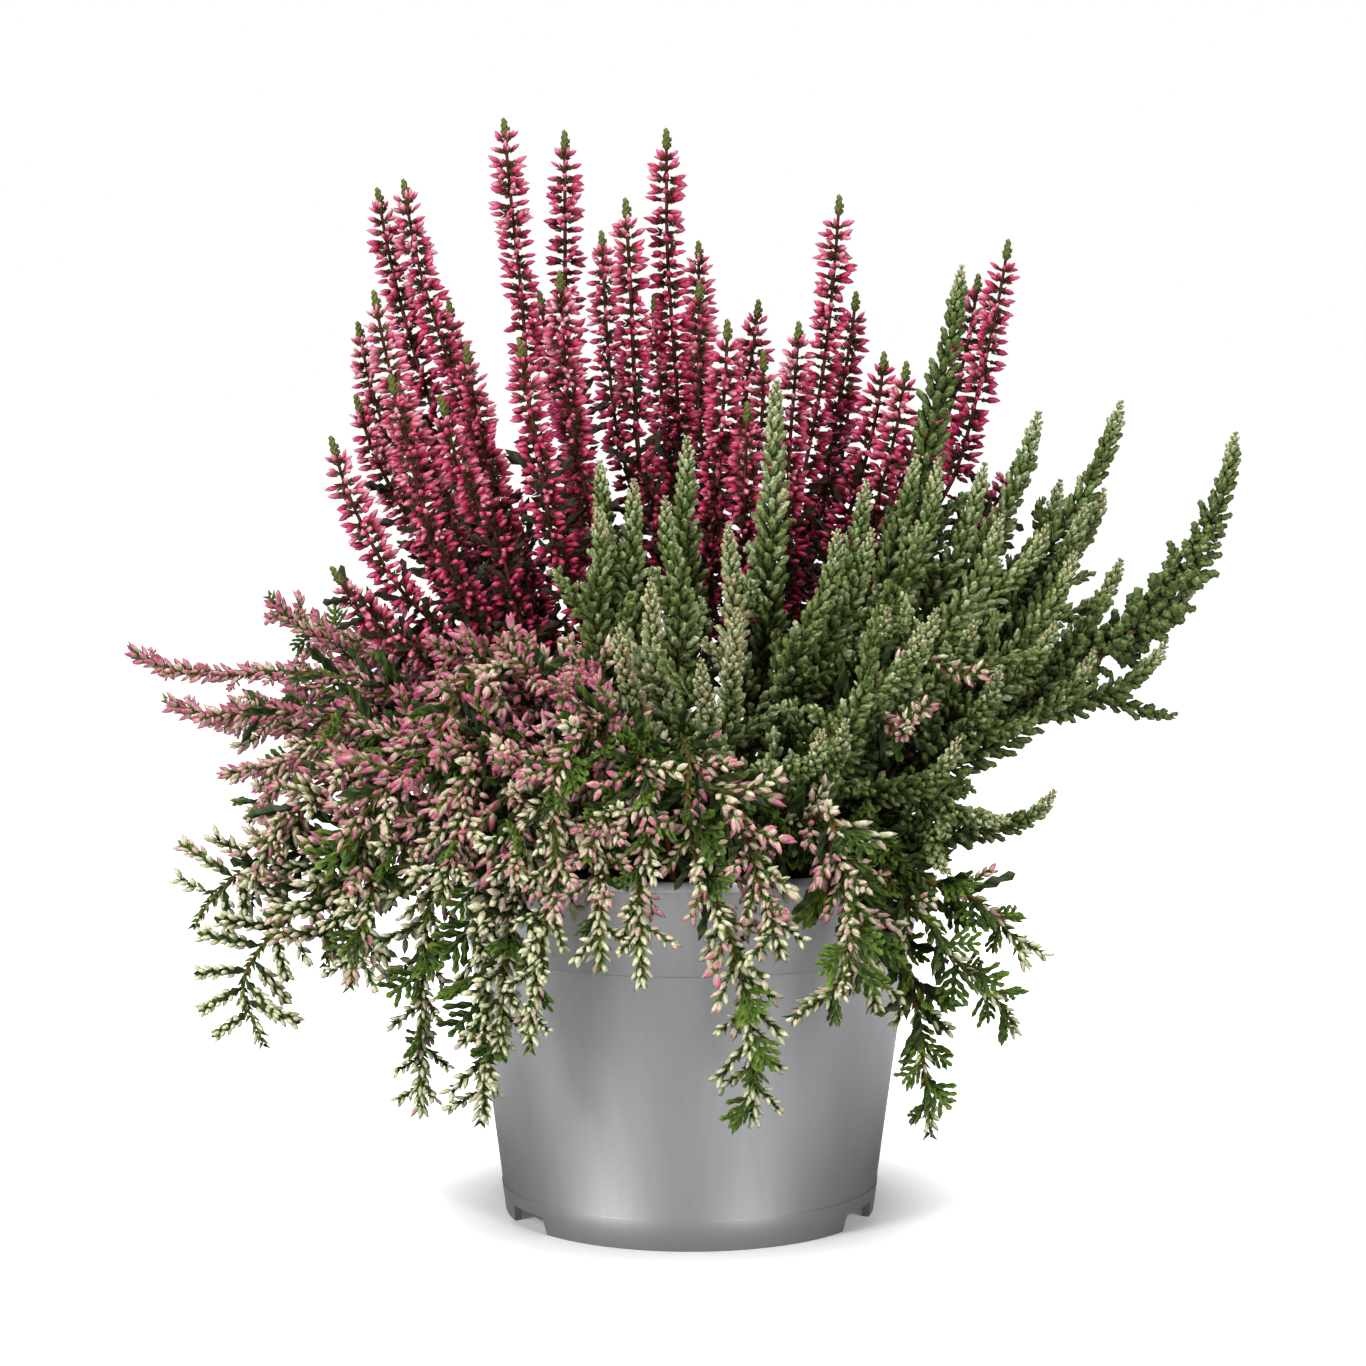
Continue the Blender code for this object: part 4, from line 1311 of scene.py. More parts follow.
def off_the_pot(places, headings, reach):
    """Turns what would grow into the pot's wall outwards."""
    ends = places + headings * reach[:, None]
    radius = np.maximum(np.linalg.norm(ends[:, :2], axis=1), TINY)
    outer = wall_radius(np.clip(ends[:, 2], 0.0, POT_HEIGHT)) + LIP_STEP + WALL_CLEAR
    outside = np.linalg.norm(places[:, :2], axis=1) > RIM_RADIUS - WALL_ZONE
    short = np.clip(outer - radius, 0.0, None) * (outside & (ends[:, 2] < POT_HEIGHT + MM))
    away = ends * (1.0, 1.0, 0.0) / radius[:, None]
    return units(headings * reach[:, None] + away * short[:, None])


def spaced(start, end, step, draw, scatter=0.2):
    """Distances from start to end, step apart, each a little off its place."""
    places = np.arange(start, end, step)
    return np.clip(places + draw.uniform(-scatter, scatter, len(places)) * step, start, end)


def near(draw, middle, spread, count):
    """Values drawn around a middle one."""
    return draw.uniform(middle - spread, middle + spread, count)


def ranked(draw, rank, count, scatter):
    """Turns round a stem for one of its ranks, where every other row stands between the ranks."""
    return rank * math.pi / 2 + (np.arange(count) % 2) * math.pi / 4 + near(draw, 0.0, scatter, count)


def grow(bm, shape_list, way, rows, turns, lifts, widths, lengths, tones, draw, reach,
         off=0.4 * MM, lean=(0.0, 0.0, 0.0), variety=0.0, kept=slice(None)):
    """Copies of shapes round a way: each at its row, turned round it and lifted along it."""
    rows, turns, lifts, widths, lengths, tones, off = (
        np.broadcast_to(np.asarray(value, float), len(rows))[kept]
        for value in (rows, turns, lifts, widths, lengths, tones, off)
    )
    count = len(rows)
    if count == 0:
        return
    at, along, side, other = way.read(rows)
    out = np.cos(turns)[:, None] * side + np.sin(turns)[:, None] * other
    headings = np.cos(lifts)[:, None] * out + np.sin(lifts)[:, None] * along
    places = at + out * off[:, None]
    headings = off_the_pot(places, units(headings + np.asarray(lean)), np.full(count, reach))
    matrices = turned_to(headings, draw.uniform(0, 2 * math.pi, count), widths, lengths, places)
    colours = COPY_TONES * np.clip(tones, 0.0, 1.0) + PART_TONES * variety * draw.random(count)
    picks = draw.integers(0, len(shape_list), count)
    for pick, shape in enumerate(shape_list):
        chosen = picks == pick
        shape.add_to(bm, matrices[chosen], colours[chosen])


def hides_foxtail(places):
    """Which places stand in front of the foxtail that the sprays part for."""
    axis = plan_plant()[FRONT_FOXTAIL][0].axis
    x, y = (np.interp(places[:, 2], axis[:, 2], axis[:, part]) for part in (0, 1))
    low, reach = FOXTAIL_CLEAR
    between = (places[:, 2] > low) & (places[:, 2] < axis[-1, 2])
    return between & (abs(places[:, 0] - x) < reach) & (places[:, 1] < y)


def add_shaded_twigs(bm, way, end, tone, draw, step=3 * MM, size=1.0):
    """Leafy twigs on the lower part of a shoot, which fill the bush from inside, in a low tone that is
    painted shade.
    """
    rows = spaced(FIRST_TWIG, end, step, draw, 0.4)
    turns = np.arange(len(rows)) * GOLDEN_TURN + near(draw, 0.0, 0.4, len(rows))
    scales = size * near(draw, 1.0, 0.25, len(rows))
    tones = tone + near(draw, 0.0, 0.12, len(rows))
    lifts = near(draw, 0.65, 0.3, len(rows))
    grow(bm, variants(*SHADED_TWIGS), way, rows, turns, lifts, scales, scales, tones, draw, TWIG)


def dress_crimson(bm, shoot, settings, draw, paleness):
    """Stem, rows of bud clusters up the spike, leafy tip, and dark twigs under the buds."""
    way = Way(shoot.axis)
    add_stem_tube(bm, way, (1.0 * MM, 0.8 * MM, 0.65 * MM, 0.5 * MM), 0.15)
    first = way.length * (shoot.kind.bare if shoot.is_main() else SIDE_FOOT_BARE)
    last = way.length - settings.leafy_tip
    rows = spaced(first, last, settings.spacing, draw, 0.12)
    from_tip = last - rows
    twist = draw.uniform(0, 2 * math.pi)
    for rank in range(RANKS):
        turns = twist + rank * math.pi / 2 + rows / settings.spacing * 0.35
        turns = turns + near(draw, 0.0, 0.3, len(rows))
        kept = draw.random(len(rows)) < np.interp(from_tip, (40 * MM, 90 * MM), (1.0, 0.7))
        grown = np.interp(from_tip, (0.0, 8 * MM), (0.72, 1.0)) * near(draw, 1.0, 0.1, len(rows))
        lifts = near(draw, 0.12, 0.22, len(rows)) + np.interp(from_tip, (0.0, 8 * MM), (0.7, 0.0))
        # Buds pale towards the tip and fall to the deep colour low down: partly their own deeper
        # crimson, partly painted shade of the bush.
        tones = paleness + np.interp(from_tip, (0.0, 60 * MM, 120 * MM), (0.35, 0.0, -0.25))
        tones = tones + near(draw, 0.0, 0.15, len(rows))
        for bud, near_tip in (("bud", True), ("small_bud", False)):
            grow(
                bm, variants(*CLUSTERS[bud]), way, rows, turns, lifts, grown, grown, tones, draw,
                6 * MM, off=0.5 * MM, kept=kept & ((from_tip < FINE_CRIMSON) == near_tip),
            )
    at, along, _, _ = way.read(np.array([last + 0.3 * MM]))
    variants(*LEAFY_TIP)[0].add_one(bm, at[0], along[0], 1.0, 1.0, 0.0, 3.0)
    add_shaded_twigs(bm, way, first + 45 * MM, 0.10, draw)


def dress_grey_green(bm, shoot, settings, draw, stem_lightness, dry, arching):
    """A leafy column with four ranks of clubs, longest low down, and a beige tip."""
    way = Way(shoot.axis)
    add_stem_tube(bm, way, (1.2 * MM, 0.9 * MM, 0.7 * MM, 0.4 * MM), 0.3)
    first = way.length * (shoot.kind.bare if shoot.is_main() else SIDE_FOOT_BARE)
    # A stem's tone below its dry tip follows the lightness given for that stem.
    low_tone = 0.12 + 0.42 * stem_lightness
    leafy_from = 0.72 * way.length if arching else first
    add_leafy_column(
        bm, way, leafy_from, way.length, (0.8 * MM, 1.3 * MM, 1.4 * MM, 1.6 * MM, 0.5 * MM),
        (0.0, 0.0, 0.05, 0.3, 0.8),
    )
    top, middle = way.length - 18 * MM, max(first, way.length - 75 * MM)
    rows = np.concatenate([
        spaced(first, middle, 1.25 * settings.spacing, draw, 0.12),
        spaced(middle, top, settings.spacing, draw, 0.12),
        spaced(top, way.length - 0.8 * MM, 0.68 * settings.spacing, draw, 0.12),
    ])
    count = len(rows)
    from_tip = way.length - rows
    grown = np.clip(from_tip / (44 * MM), 0.0, 1.0) ** 0.9
    fade = max(34 * MM, 1.1 * dry)
    # Tones run from the beige dry tip through the stem's own tone and fall to near the darkest low down
    # the stem, painted shade of the lower stem.
    beige = np.interp(from_tip, (0.2 * dry, dry, fade, 80 * MM), (0.95, low_tone, low_tone, 0.02))
    narrow = np.interp(from_tip, (0.0, 7 * MM), (0.45, 1.0))
    fine = abs(from_tip - 36 * MM) <= 28 * MM
    long_ones = from_tip > (26 * MM if arching else way.length)
    for rank in range(RANKS):
        turns = ranked(draw, rank, count, 0.2)
        lifts = 0.82 + 0.40 * (1.0 - grown) + near(draw, 0.0, 0.12, count)
        sizes = settings.club * (0.34 + 0.66 * grown) * narrow * near(draw, 1.0, 0.15, count)
        tones = beige + near(draw, 0.0, 0.15, count)
        kept = long_ones & (draw.random(count) < 0.8)
        scales = np.interp(from_tip, (26 * MM, 60 * MM), (0.9, 1.25)) * near(draw, 1.0, 0.2, count)
        grow(
            bm, variants(*LONG_CLUBS), way, rows, turns, lifts - 0.2, scales, scales, tones, draw,
            8 * MM, kept=kept,
        )
        for clubs, wanted in ((ROUND_CLUBS, fine), (PLAIN_CLUBS, ~fine)):
            grow(
                bm, variants(*clubs), way, rows, turns, lifts, 1.15 * MM * narrow + 0.21 * sizes,
                sizes, tones, draw, 5 * MM, off=0.7 * MM * narrow, variety=1.0,
                kept=wanted & ~long_ones,
            )
    sides = spaced(0.7 * first, 0.62 * way.length, 13 * MM, draw, 0.4)
    count = 0 if arching else len(sides)
    grow(
        bm, variants(*SMALL_FOXTAILS), way, sides[:count], near(draw, 0.0, math.pi, count),
        near(draw, 0.75, 0.2, count), near(draw, 1.05, 0.15, count), near(draw, 1.2, 0.35, count),
        near(draw, low_tone, 0.15, count), draw, 20 * MM, lean=UP * 0.35,
    )
    add_shaded_twigs(bm, way, first, 0.08, draw)


def dress_pink_white(bm, shoot, settings, draw, look, pinkness):
    """A thin brown stem with side twigs, scale leaves and whorls of buds that point forward."""
    way = Way(shoot.axis)
    add_stem_tube(bm, way, (1.1 * MM, 0.85 * MM, 0.65 * MM, 0.35 * MM), 0.35)
    bare = max(shoot.kind.bare, look.bare) if shoot.is_main() else SPRAY_FOOT_BARE
    first = way.length * bare
    lean = outward_of(shoot.axis[-1]) * 0.2 - UP * 0.2
    whorls = spaced(first, way.length - 1.5 * MM, settings.whorl, draw, 0.15)
    count = len(whorls)
    from_tip = way.length - whorls
    for rank in range(RANKS):
        turns = ranked(draw, rank, count, 0.3)
        lifts = near(draw, 0.85, 0.2, count) + np.interp(from_tip, (1 * MM, 5 * MM), (0.4, 0.0))
        keep = draw.random(count) < look.buds * np.interp(from_tip, (20 * MM, 50 * MM), (1.0, 0.55))
        places = way.read(whorls)[0]
        keep &= ~hides_foxtail(places)
        tones = pinkness(places) + near(draw, 0.0, 0.32, count)
        sizes = np.interp(places[:, 2], LOW_SPRAYS, (0.86, 1.0)) * near(draw, 4.5 * MM, 0.5 * MM, count)
        for bud, wanted in (("bud", from_tip < FINE_SPRAY), ("small_bud", from_tip >= FINE_SPRAY)):
            grow(
                bm, [shapes()[bud]], way, whorls, turns, lifts, 0.39 * sizes, sizes, tones, draw,
                5 * MM, off=0.5 * MM, variety=1.0, kept=keep & wanted,
            )
    leaves = spaced(first * 0.4, way.length, 0.65 * MM, draw, 0.3)
    count = len(leaves)
    grow(
        bm, [shapes()["leaf"]], way, leaves, np.arange(count) * GOLDEN_TURN,
        near(draw, 0.85, 0.2, count), 1.5 * MM, near(draw, 2.8 * MM, 0.5 * MM, count),
        near(draw, 0.5, 0.4, count), draw, 3 * MM, variety=1.0,
    )
    twigs = spaced(first * 0.7, way.length - 7 * MM, look.twig_step, draw, 0.35)
    count = len(twigs)
    turns = np.arange(count) * GOLDEN_TURN + near(draw, 0.0, 0.4, count)
    if look.comb:
        turns = (np.arange(count) % 2) * math.pi + look.comb_turn + near(draw, 0.0, 0.25, count)
    lifts = near(draw, look.twig_lift, 0.22, count)
    shrink = 1.15 - 0.5 * (twigs / way.length) ** 2
    sizes = look.twig_size * near(draw, 1.0, 0.22, count) * shrink
    places = way.read(twigs)[0] if count else np.zeros((0, 3))
    tones = pinkness(places) + near(draw, 0.0, 0.32, count)
    clear = ~hides_foxtail(places)
    ferny = draw.random(count) < look.ferns
    low = draw.random(count) > np.interp(places[:, 2], LOW_SPRAYS, (0.0, 1.0))
    for twig, wanted in ((COMB_TWIGS if look.comb else LEAFY_TWIGS, low), (BUDDED_TWIGS, ~low)):
        grow(
            bm, variants(*twig), way, twigs, turns, lifts, 0.5 + 0.5 * sizes, sizes, tones, draw,
            12 * MM, lean=lean, kept=wanted & ~ferny & clear,
        )
    ferny &= clear
    grow(
        bm, variants(*FERN_TWIGS), way, twigs[ferny], turns[ferny], lifts[ferny], sizes[ferny],
        sizes[ferny], near(draw, 0.4, 0.3, ferny.sum()), draw, 12 * MM, lean=lean,
    )
    add_shaded_twigs(bm, way, 0.66 * way.length, 0.04, draw, step=3.6 * MM, size=1.15)


def dress_stems(kind, materials, dress):
    """One piece for each stem of a kind, in place of its solid."""
    for name, shoots in plan_plant().items():
        if not name.startswith(kind):
            continue
        draw = np.random.default_rng(sum(map(ord, name)) * 7919 + int(name[-2:]))
        bm = bmesh.new()
        bm.loops.layers.uv.new(CHART)
        for shoot in shoots:
            dress(bm, name, shoot, draw)
        piece = object_from(f"{name}_in_leaf", bm, materials)
        stand_in_for(piece, name)


class HEATHER_OT_crimson_spikes(bpy.types.Operator):
    """Dresses the upright spikes with crimson buds"""

    bl_idname = "heather.crimson_spikes"
    bl_label = "Crimson spikes"

    def execute(self, context):
        settings = context.scene.heather.crimson
        deep, pale, blush = settings.deep, settings.pale, settings.blush
        materials = [
            bark_material("crimson_bark", (0.040, 0.009, 0.006), (0.12, 0.022, 0.016)),
            growing_material(
                "crimson_leaf", LEAF,
                [(0.0, settings.bract), (0.5, (0.040, 0.026, 0.010)), (0.8, (0.05, 0.06, 0.012))],
                [(0.0, (0.020, 0.028, 0.008)), (0.3, settings.bract), (0.6, (0.075, 0.050, 0.020)),
                 (0.8, settings.olive)],
                0.6,
            ),
            growing_material(
                "crimson_bud", BUD,
                [(0.0, mixed(deep, (0.05, 0.0, 0.01), 0.6)), (0.5, deep), (1.0, mixed(deep, pale, 0.5))],
                [(0.0, deep), (0.25, mixed(deep, pale, 0.5)), (0.5, pale), (0.8, blush),
                 (1.0, mixed(blush, (0.95, 0.90, 0.86), 0.5))], 0.45, (0.05, 0.95),
            ),
        ]

        def dress(bm, name, shoot, draw):
            left = np.clip(-shoot.axis[-1][0] / 0.1, 0.0, 1.0)
            dress_crimson(bm, shoot, settings, draw, 0.32 + 0.15 * left + draw.uniform(-0.08, 0.08))

        dress_stems("crimson_spike", materials, dress)
        return {"FINISHED"}


class HEATHER_OT_grey_green_stems(bpy.types.Operator):
    """Dresses the leafy stems with clubs of grey-green scale leaves"""

    bl_idname = "heather.grey_green_stems"
    bl_label = "Grey-green stems"

    def execute(self, context):
        settings = context.scene.heather.grey_green
        deep, fresh, frost, beige = settings.deep, settings.fresh, settings.frost, settings.beige
        materials = [
            bark_material("grey_green_bark", (0.06, 0.02, 0.012), (0.22, 0.08, 0.05)),
            growing_material(
                "grey_green_leaf", LEAF,
                [(0.0, deep), (0.5, mixed(deep, fresh, 0.5)), (0.7, mixed(fresh, frost, 0.3)),
                 (0.9, mixed(beige, fresh, 0.5))],
                [(0.0, mixed(deep, fresh, 0.15)), (0.2, mixed(deep, fresh, 0.6)), (0.4, fresh),
                 (0.62, frost), (0.88, beige)],
                0.6, grain=(0.6, 1.45),
            ),
        ]

        def dress(bm, name, shoot, draw):
            arching = name == ARCHING_BRANCH and shoot.is_main()
            stem_lightness = LIGHTNESS.get(name, 0.6) + draw.uniform(-0.2, 0.2)
            dry = DRY_TIPS.get(name, USUAL_DRY_TIP)
            dress_grey_green(bm, shoot, settings, draw, stem_lightness, dry, arching)

        dress_stems("grey_green_stem", materials, dress)
        return {"FINISHED"}


class HEATHER_OT_pink_white_sprays(bpy.types.Operator):
    """Dresses the trailing sprays with cream and pink buds"""

    bl_idname = "heather.pink_white_sprays"
    bl_label = "Pink and white sprays"

    def execute(self, context):
        settings = context.scene.heather.pink_white
        cream, pink = settings.cream, settings.pink
        deep, fresh = settings.leaf_deep, settings.leaf_fresh
        green, deepest = (0.25, 0.34, 0.07), (0.31, 0.030, 0.095)
        materials = [
            bark_material("pink_white_bark", (0.07, 0.024, 0.012), (0.20, 0.062, 0.030)),
            growing_material(
                "pink_white_leaf", LEAF,
                # Low tones and recessed corners are mixed towards black: painted shade inside the bush
                # and between the scale leaves.
                [(0.0, mixed(deep, (0, 0, 0), 0.6)), (0.35, deep), (1.0, mixed(deep, fresh, 0.5))],
                [(0.0, mixed(deep, (0, 0, 0), 0.4)), (0.3, mixed(deep, fresh, 0.3)), (1.0, fresh)],
                0.5,
            ),
            growing_material(
                "pink_white_bud", BUD,
                [(0.0, green), (0.35, mixed(cream, green, 0.5)), (0.6, mixed(cream, pink, 0.25)),
                 (1.0, mixed(pink, cream, 0.3))],
                [(0.0, cream), (0.33, mixed(cream, pink, 0.12)), (0.6, pink), (1.0, deepest)],
                0.45, (0.05, 0.7),
            ),
        ]

        def pinkness(at):
            start = np.interp(at[:, 0], (-0.02, 0.03), (0.09, 0.05))
            height = np.clip((at[:, 2] - start) / 0.06, 0.0, 1.0)
            left = np.clip((0.03 - at[:, 0]) / 0.11, 0.0, 1.0)
            return height * (0.38 + 0.32 * left) + 0.10 * left

        def dress(bm, name, shoot, draw):
            look = SPRAY_LOOKS.get(name, USUAL_LOOK)
            dress_pink_white(bm, shoot, settings, draw, look, pinkness)

        dress_stems("pink_white_spray", materials, dress)
        return {"FINISHED"}


# Pot and peat


def turned(profile, steps):
    """A profile of (radius, height) pairs turned about Z, its ends closed on the axis."""
    bm = bmesh.new()
    corners = [bm.verts.new((radius, 0.0, height)) for radius, height in profile]
    edges = [bm.edges.new(pair) for pair in zip(corners, corners[1:])]
    bmesh.ops.spin(
        bm, geom=[*corners, *edges], cent=(0, 0, 0), axis=(0, 0, 1), angle=2 * math.pi,
        steps=steps, use_merge=True,
    )
    bmesh.ops.remove_doubles(bm, verts=bm.verts, dist=SEAM)
    bmesh.ops.recalc_face_normals(bm, faces=bm.faces)
    for face in bm.faces:
        face.smooth = True
    return bm


def rounded(profile, radius):
    """The profile with a short arc at each of its corners."""
    made = [profile[0]]
    for before, corner, after in zip(profile, profile[1:], profile[2:]):
        a, c, b = (np.array(point, float) for point in (before, corner, after))
        cut = min(radius, 0.4 * np.linalg.norm(a - c), 0.4 * np.linalg.norm(b - c))
        first, last = c + unit(a - c) * cut, c + unit(b - c) * cut
        made += [tuple(first), tuple(0.25 * first + 0.5 * c + 0.25 * last), tuple(last)]
    return [*made, profile[-1]]


def pot_profile():
    return [
        (0.0, FLOOR_TOP),
        (inner_radius(FLOOR_TOP), FLOOR_TOP),
        (inner_radius(POT_HEIGHT), POT_HEIGHT),
        (RIM_RADIUS, POT_HEIGHT),
        (RIM_RADIUS, POT_HEIGHT - LIP_HEIGHT),
        (RIM_RADIUS - LIP_STEP, POT_HEIGHT - LIP_HEIGHT),
        (wall_radius(BAND_BOTTOM), BAND_BOTTOM),
        (wall_radius(BAND_BOTTOM) - BAND_STEP, BAND_BOTTOM),
        (wall_radius(FOOT_RING_TOP) - FOOT_RING_STEP, FOOT_RING_TOP),
        (wall_radius(FOOT_RING_TOP), FOOT_RING_TOP),
        (FOOT_RADIUS, 0.0),
        (FOOT_RADIUS - FOOT_WALL, 0.0),
        (FOOT_RADIUS - FOOT_WALL, FLOOR_Z),
        (RIB_RADIUS, FLOOR_Z),
        (RIB_RADIUS, RIB_BOTTOM),
        (RIB_RADIUS - RIB_WALL, RIB_BOTTOM),
        (RIB_RADIUS - RIB_WALL, FLOOR_Z),
        (0.0, FLOOR_Z),
    ]


def notch_cutter(azimuth):
    bm = bmesh.new()
    bmesh.ops.create_cube(bm, size=1.0)
    for vert in bm.verts:
        high = vert.co.z > 0
        vert.co.x *= NOTCH_WIDTH_HIGH if high else NOTCH_WIDTH_LOW
        vert.co.y = vert.co.y * NOTCH_DEPTH - FOOT_RADIUS
        vert.co.z = NOTCH_HEIGHT if high else -NOTCH_HEIGHT
    bmesh.ops.rotate(bm, verts=bm.verts, matrix=Matrix.Rotation(azimuth, 3, "Z"))
    return bm


def drain_cutter(azimuth):
    bm = bmesh.new()
    x, y = DRAIN_RING * math.cos(azimuth), DRAIN_RING * math.sin(azimuth)
    bmesh.ops.create_cone(
        bm, cap_ends=True, segments=24, radius1=DRAIN_RADIUS, radius2=DRAIN_RADIUS,
        depth=4 * (FLOOR_TOP - FLOOR_Z), matrix=Matrix.Translation((x, y, FLOOR_Z)),
    )
    return bm


def cut_out(piece, cutters):
    """Applies one Boolean cut by all the cutters, and removes them."""
    holder = bpy.data.collections.new("pot_cutters")
    bpy.context.scene.collection.children.link(holder)
    for bm in cutters:
        mesh = bpy.data.meshes.new("cutter")
        bm.to_mesh(mesh)
        bm.free()
        holder.objects.link(bpy.data.objects.new("cutter", mesh))
    cut = piece.modifiers.new("cut", "BOOLEAN")
    cut.operand_type = "COLLECTION"
    cut.collection = holder
    graph = bpy.context.evaluated_depsgraph_get()
    result = bpy.data.meshes.new_from_object(piece.evaluated_get(graph))
    piece.modifiers.clear()
    piece.data = result
    for obj in list(holder.objects):
        bpy.data.objects.remove(obj)
    bpy.data.collections.remove(holder)


class HEATHER_OT_pot(bpy.types.Operator):
    """Turns the nursery pot and cuts its notches and drain holes"""

    bl_idname = "heather.pot"
    bl_label = "Pot"

    def execute(self, context):
        settings = context.scene.heather.pot
        bm = turned(rounded(pot_profile(), CORNER_RADIUS), settings.steps)
        pot = object_from("nursery_pot", bm, [plastic_material(settings)])
        cutters = [notch_cutter(math.radians(azimuth)) for azimuth in NOTCH_AZIMUTHS]
        cutters += [drain_cutter(2 * math.pi * k / DRAIN_COUNT) for k in range(DRAIN_COUNT)]
        cut_out(pot, cutters)
        pot.data.set_sharp_from_angle(angle=math.radians(SHARP_FROM))
        stand_in_for(pot, "pot")
        return {"FINISHED"}


class HEATHER_OT_peat(bpy.types.Operator):
    """Fills the pot with peat, uneven on top"""

    bl_idname = "heather.peat"
    bl_label = "Peat"

    def execute(self, context):
        settings = context.scene.heather.peat
        edge = inner_radius(PEAT_TOP) - GAP
        bottom = FLOOR_TOP + GAP
        rings = [(edge * share, PEAT_TOP) for share in np.linspace(0.0, 1.0, PEAT_RINGS)]
        bm = turned([*rings, (inner_radius(bottom) - GAP, bottom), (0.0, bottom)], PEAT_SIDES)
        for vert in bm.verts:
            if vert.co.z > PEAT_TOP - MM:
                lump = noise.fractal(vert.co / LUMP_SIZE, 0.6, 2.0, 4)
                vert.co.z += settings.roughness_height * lump
        peat = object_from("peat_ball", bm, [peat_material(settings)])
        stand_in_for(peat, "peat")
        return {"FINISHED"}


# Stage


def area_light(name, place, size, power):
    light = bpy.data.lights.new(name, "AREA")
    light.shape = "RECTANGLE"
    light.size, light.size_y = size
    light.energy = power
    lamp = bpy.data.objects.new(name, light)
    lamp.location = place
    lamp.rotation_euler = (Vector(AIM) - Vector(place)).to_track_quat("-Z", "Y").to_euler()
    bpy.context.scene.collection.objects.link(lamp)


def show_camera(tree, lit, seen, output):
    """Ends a node tree with one shader for the light and another for the camera."""
    path = add_node(tree, "LightPath")
    mix = add_node(tree, "MixShader", {"Fac": path.outputs["Is Camera Ray"], 1: lit, 2: seen})
    feed(tree, tree.nodes[output], {"Surface": mix.outputs["Shader"]})


def floor_material(settings):
    """A white floor that the camera sees lifted to the white of the studio, but for shadows."""
    made, tree, seen = new_material("floor")
    place = add_node(tree, "TexCoord").outputs["Object"]
    reach = add_node(tree, "VectorMath", {"Vector": place}, operation="LENGTH").outputs["Value"]
    feed(tree, seen, {
        "Base Color": (*settings.floor, 1.0),
        "Roughness": 0.9,
        "Emission Color": (1.0, 1.0, 1.0, 1.0),
        "Emission Strength": ranged(tree, reach, 0.055, 0.10, settings.floor_lift, 1.0),
    })
    foot = ranged(tree, reach, 0.07, 0.11, settings.foot_bounce, 0.0)
    bounce = ranged(tree, reach, 0.13, 0.22, settings.floor_bounce, settings.far_bounce)
    total = add_node(tree, "Math", {0: foot, 1: bounce}).outputs["Value"]
    diffuse = add_node(tree, "LightPath").outputs["Is Diffuse Ray"]
    share = ranged(tree, diffuse, 0.0, 1.0, 1.0, settings.plant_bounce)
    product = add_node(tree, "Math", {0: total, 1: share}, operation="MULTIPLY").outputs["Value"]
    lit = add_node(tree, "BsdfDiffuse", {"Color": product})
    show_camera(tree, lit.outputs["BSDF"], seen.outputs["BSDF"], "Material Output")
    return made


def studio_world(settings):
    """White where the camera sees it, and for the light bright in front and dim behind."""
    world = bpy.data.worlds.new("studio")
    world.use_nodes = True
    tree = world.node_tree
    place = add_node(tree, "TexCoord").outputs["Generated"]
    depth = add_node(tree, "SeparateXYZ", {"Vector": place}).outputs["Y"]
    stops = [(0.0, (0.8, 0.8, 0.8)), (0.3, (1.0, 1.0, 1.0)), (0.7, (0.2, 0.2, 0.2))]
    light = tree.nodes["Background"]
    feed(tree, light, {
        "Color": ramp(tree, ranged(tree, depth, -1.0, 1.0), stops), "Strength": settings.sky,
    })
    seen = add_node(tree, "Background", {"Color": (1.0, 1.0, 1.0, 1.0)})
    show_camera(tree, light.outputs["Background"], seen.outputs["Background"], "World Output")
    return world


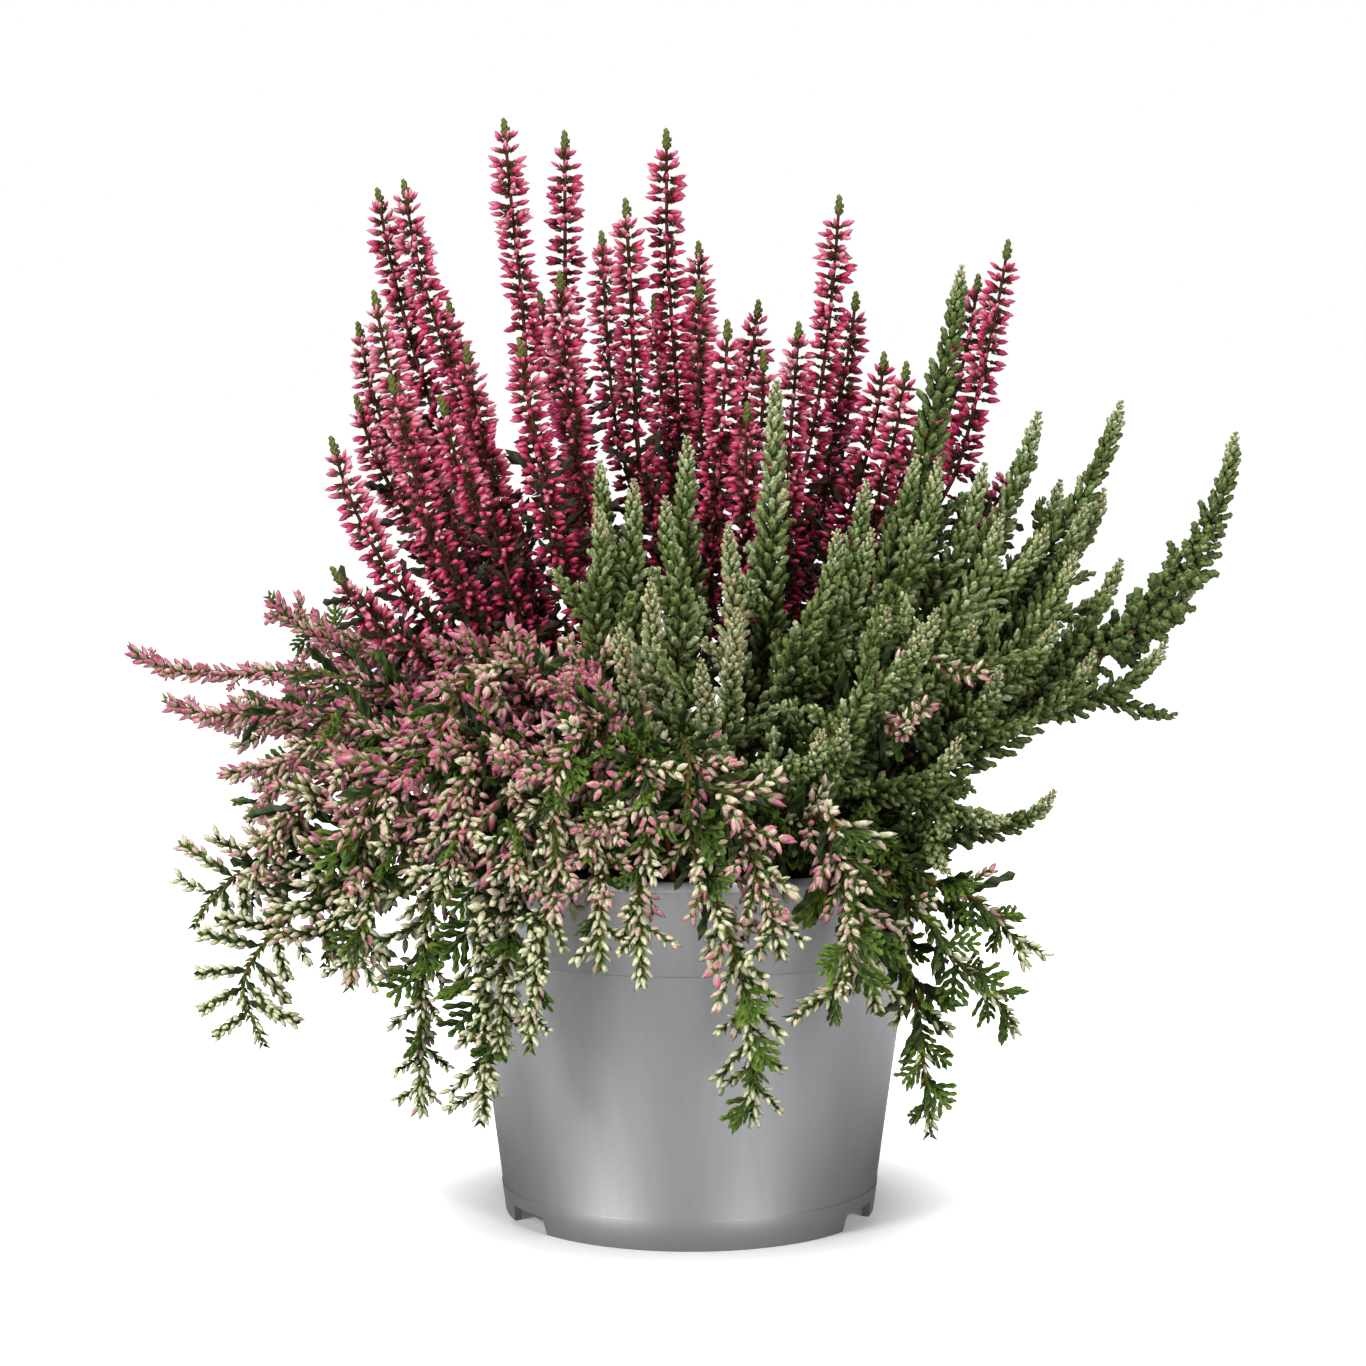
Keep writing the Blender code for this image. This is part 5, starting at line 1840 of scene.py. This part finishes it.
class HEATHER_OT_stage(bpy.types.Operator):
    """Lays the floor and sets the lights and the camera"""

    bl_idname = "heather.stage"
    bl_label = "Floor, light and camera"

    def execute(self, context):
        scene = context.scene
        settings = scene.heather.stage
        bm = bmesh.new()
        bmesh.ops.create_grid(bm, x_segments=1, y_segments=1, size=FLOOR_SIZE)
        object_from("floor", bm, [floor_material(settings)])
        scene.world = studio_world(settings)
        scene.view_settings.view_transform = "Standard"
        for name, (place, size) in LAMPS.items():
            area_light(name, place, size, getattr(settings, name))
        lens = bpy.data.cameras.new("camera")
        lens.lens = FOCAL_LENGTH
        lens.sensor_width = FILM_WIDTH
        camera = bpy.data.objects.new("camera", lens)
        camera.location = CAMERA_PLACE
        camera.rotation_euler = (math.radians(90 - CAMERA_DIP), 0.0, 0.0)
        scene.collection.objects.link(camera)
        scene.camera = camera
        return {"FINISHED"}


class HEATHER_PT_panel(bpy.types.Panel):
    """Lists the pieces in the 3D view's sidebar"""

    bl_idname = "HEATHER_PT_panel"
    bl_label = "Potted heather"
    bl_space_type = "VIEW_3D"
    bl_region_type = "UI"
    bl_category = "Heather"

    def draw(self, context):
        for operator in OPERATORS:
            self.layout.operator(operator.bl_idname)


SETTINGS = (
    PotSettings, PeatSettings, CrimsonSettings, GreyGreenSettings, PinkWhiteSettings,
    StageSettings, HeatherSettings,
)
OPERATORS = (
    HEATHER_OT_pot, HEATHER_OT_peat, HEATHER_OT_crimson_spikes, HEATHER_OT_grey_green_stems,
    HEATHER_OT_pink_white_sprays, HEATHER_OT_stage,
)


def register():
    for made in (*SETTINGS, *OPERATORS, HEATHER_PT_panel):
        bpy.utils.register_class(made)
    bpy.types.Scene.heather = PointerProperty(type=HeatherSettings)


def unregister():
    del bpy.types.Scene.heather
    for made in reversed((*SETTINGS, *OPERATORS, HEATHER_PT_panel)):
        bpy.utils.unregister_class(made)


def main():
    register()
    bpy.ops.heather.pot()
    bpy.ops.heather.peat()
    bpy.ops.heather.crimson_spikes()
    bpy.ops.heather.grey_green_stems()
    bpy.ops.heather.pink_white_sprays()
    bpy.ops.heather.stage()
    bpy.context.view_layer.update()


if __name__ == "__main__":
    main()
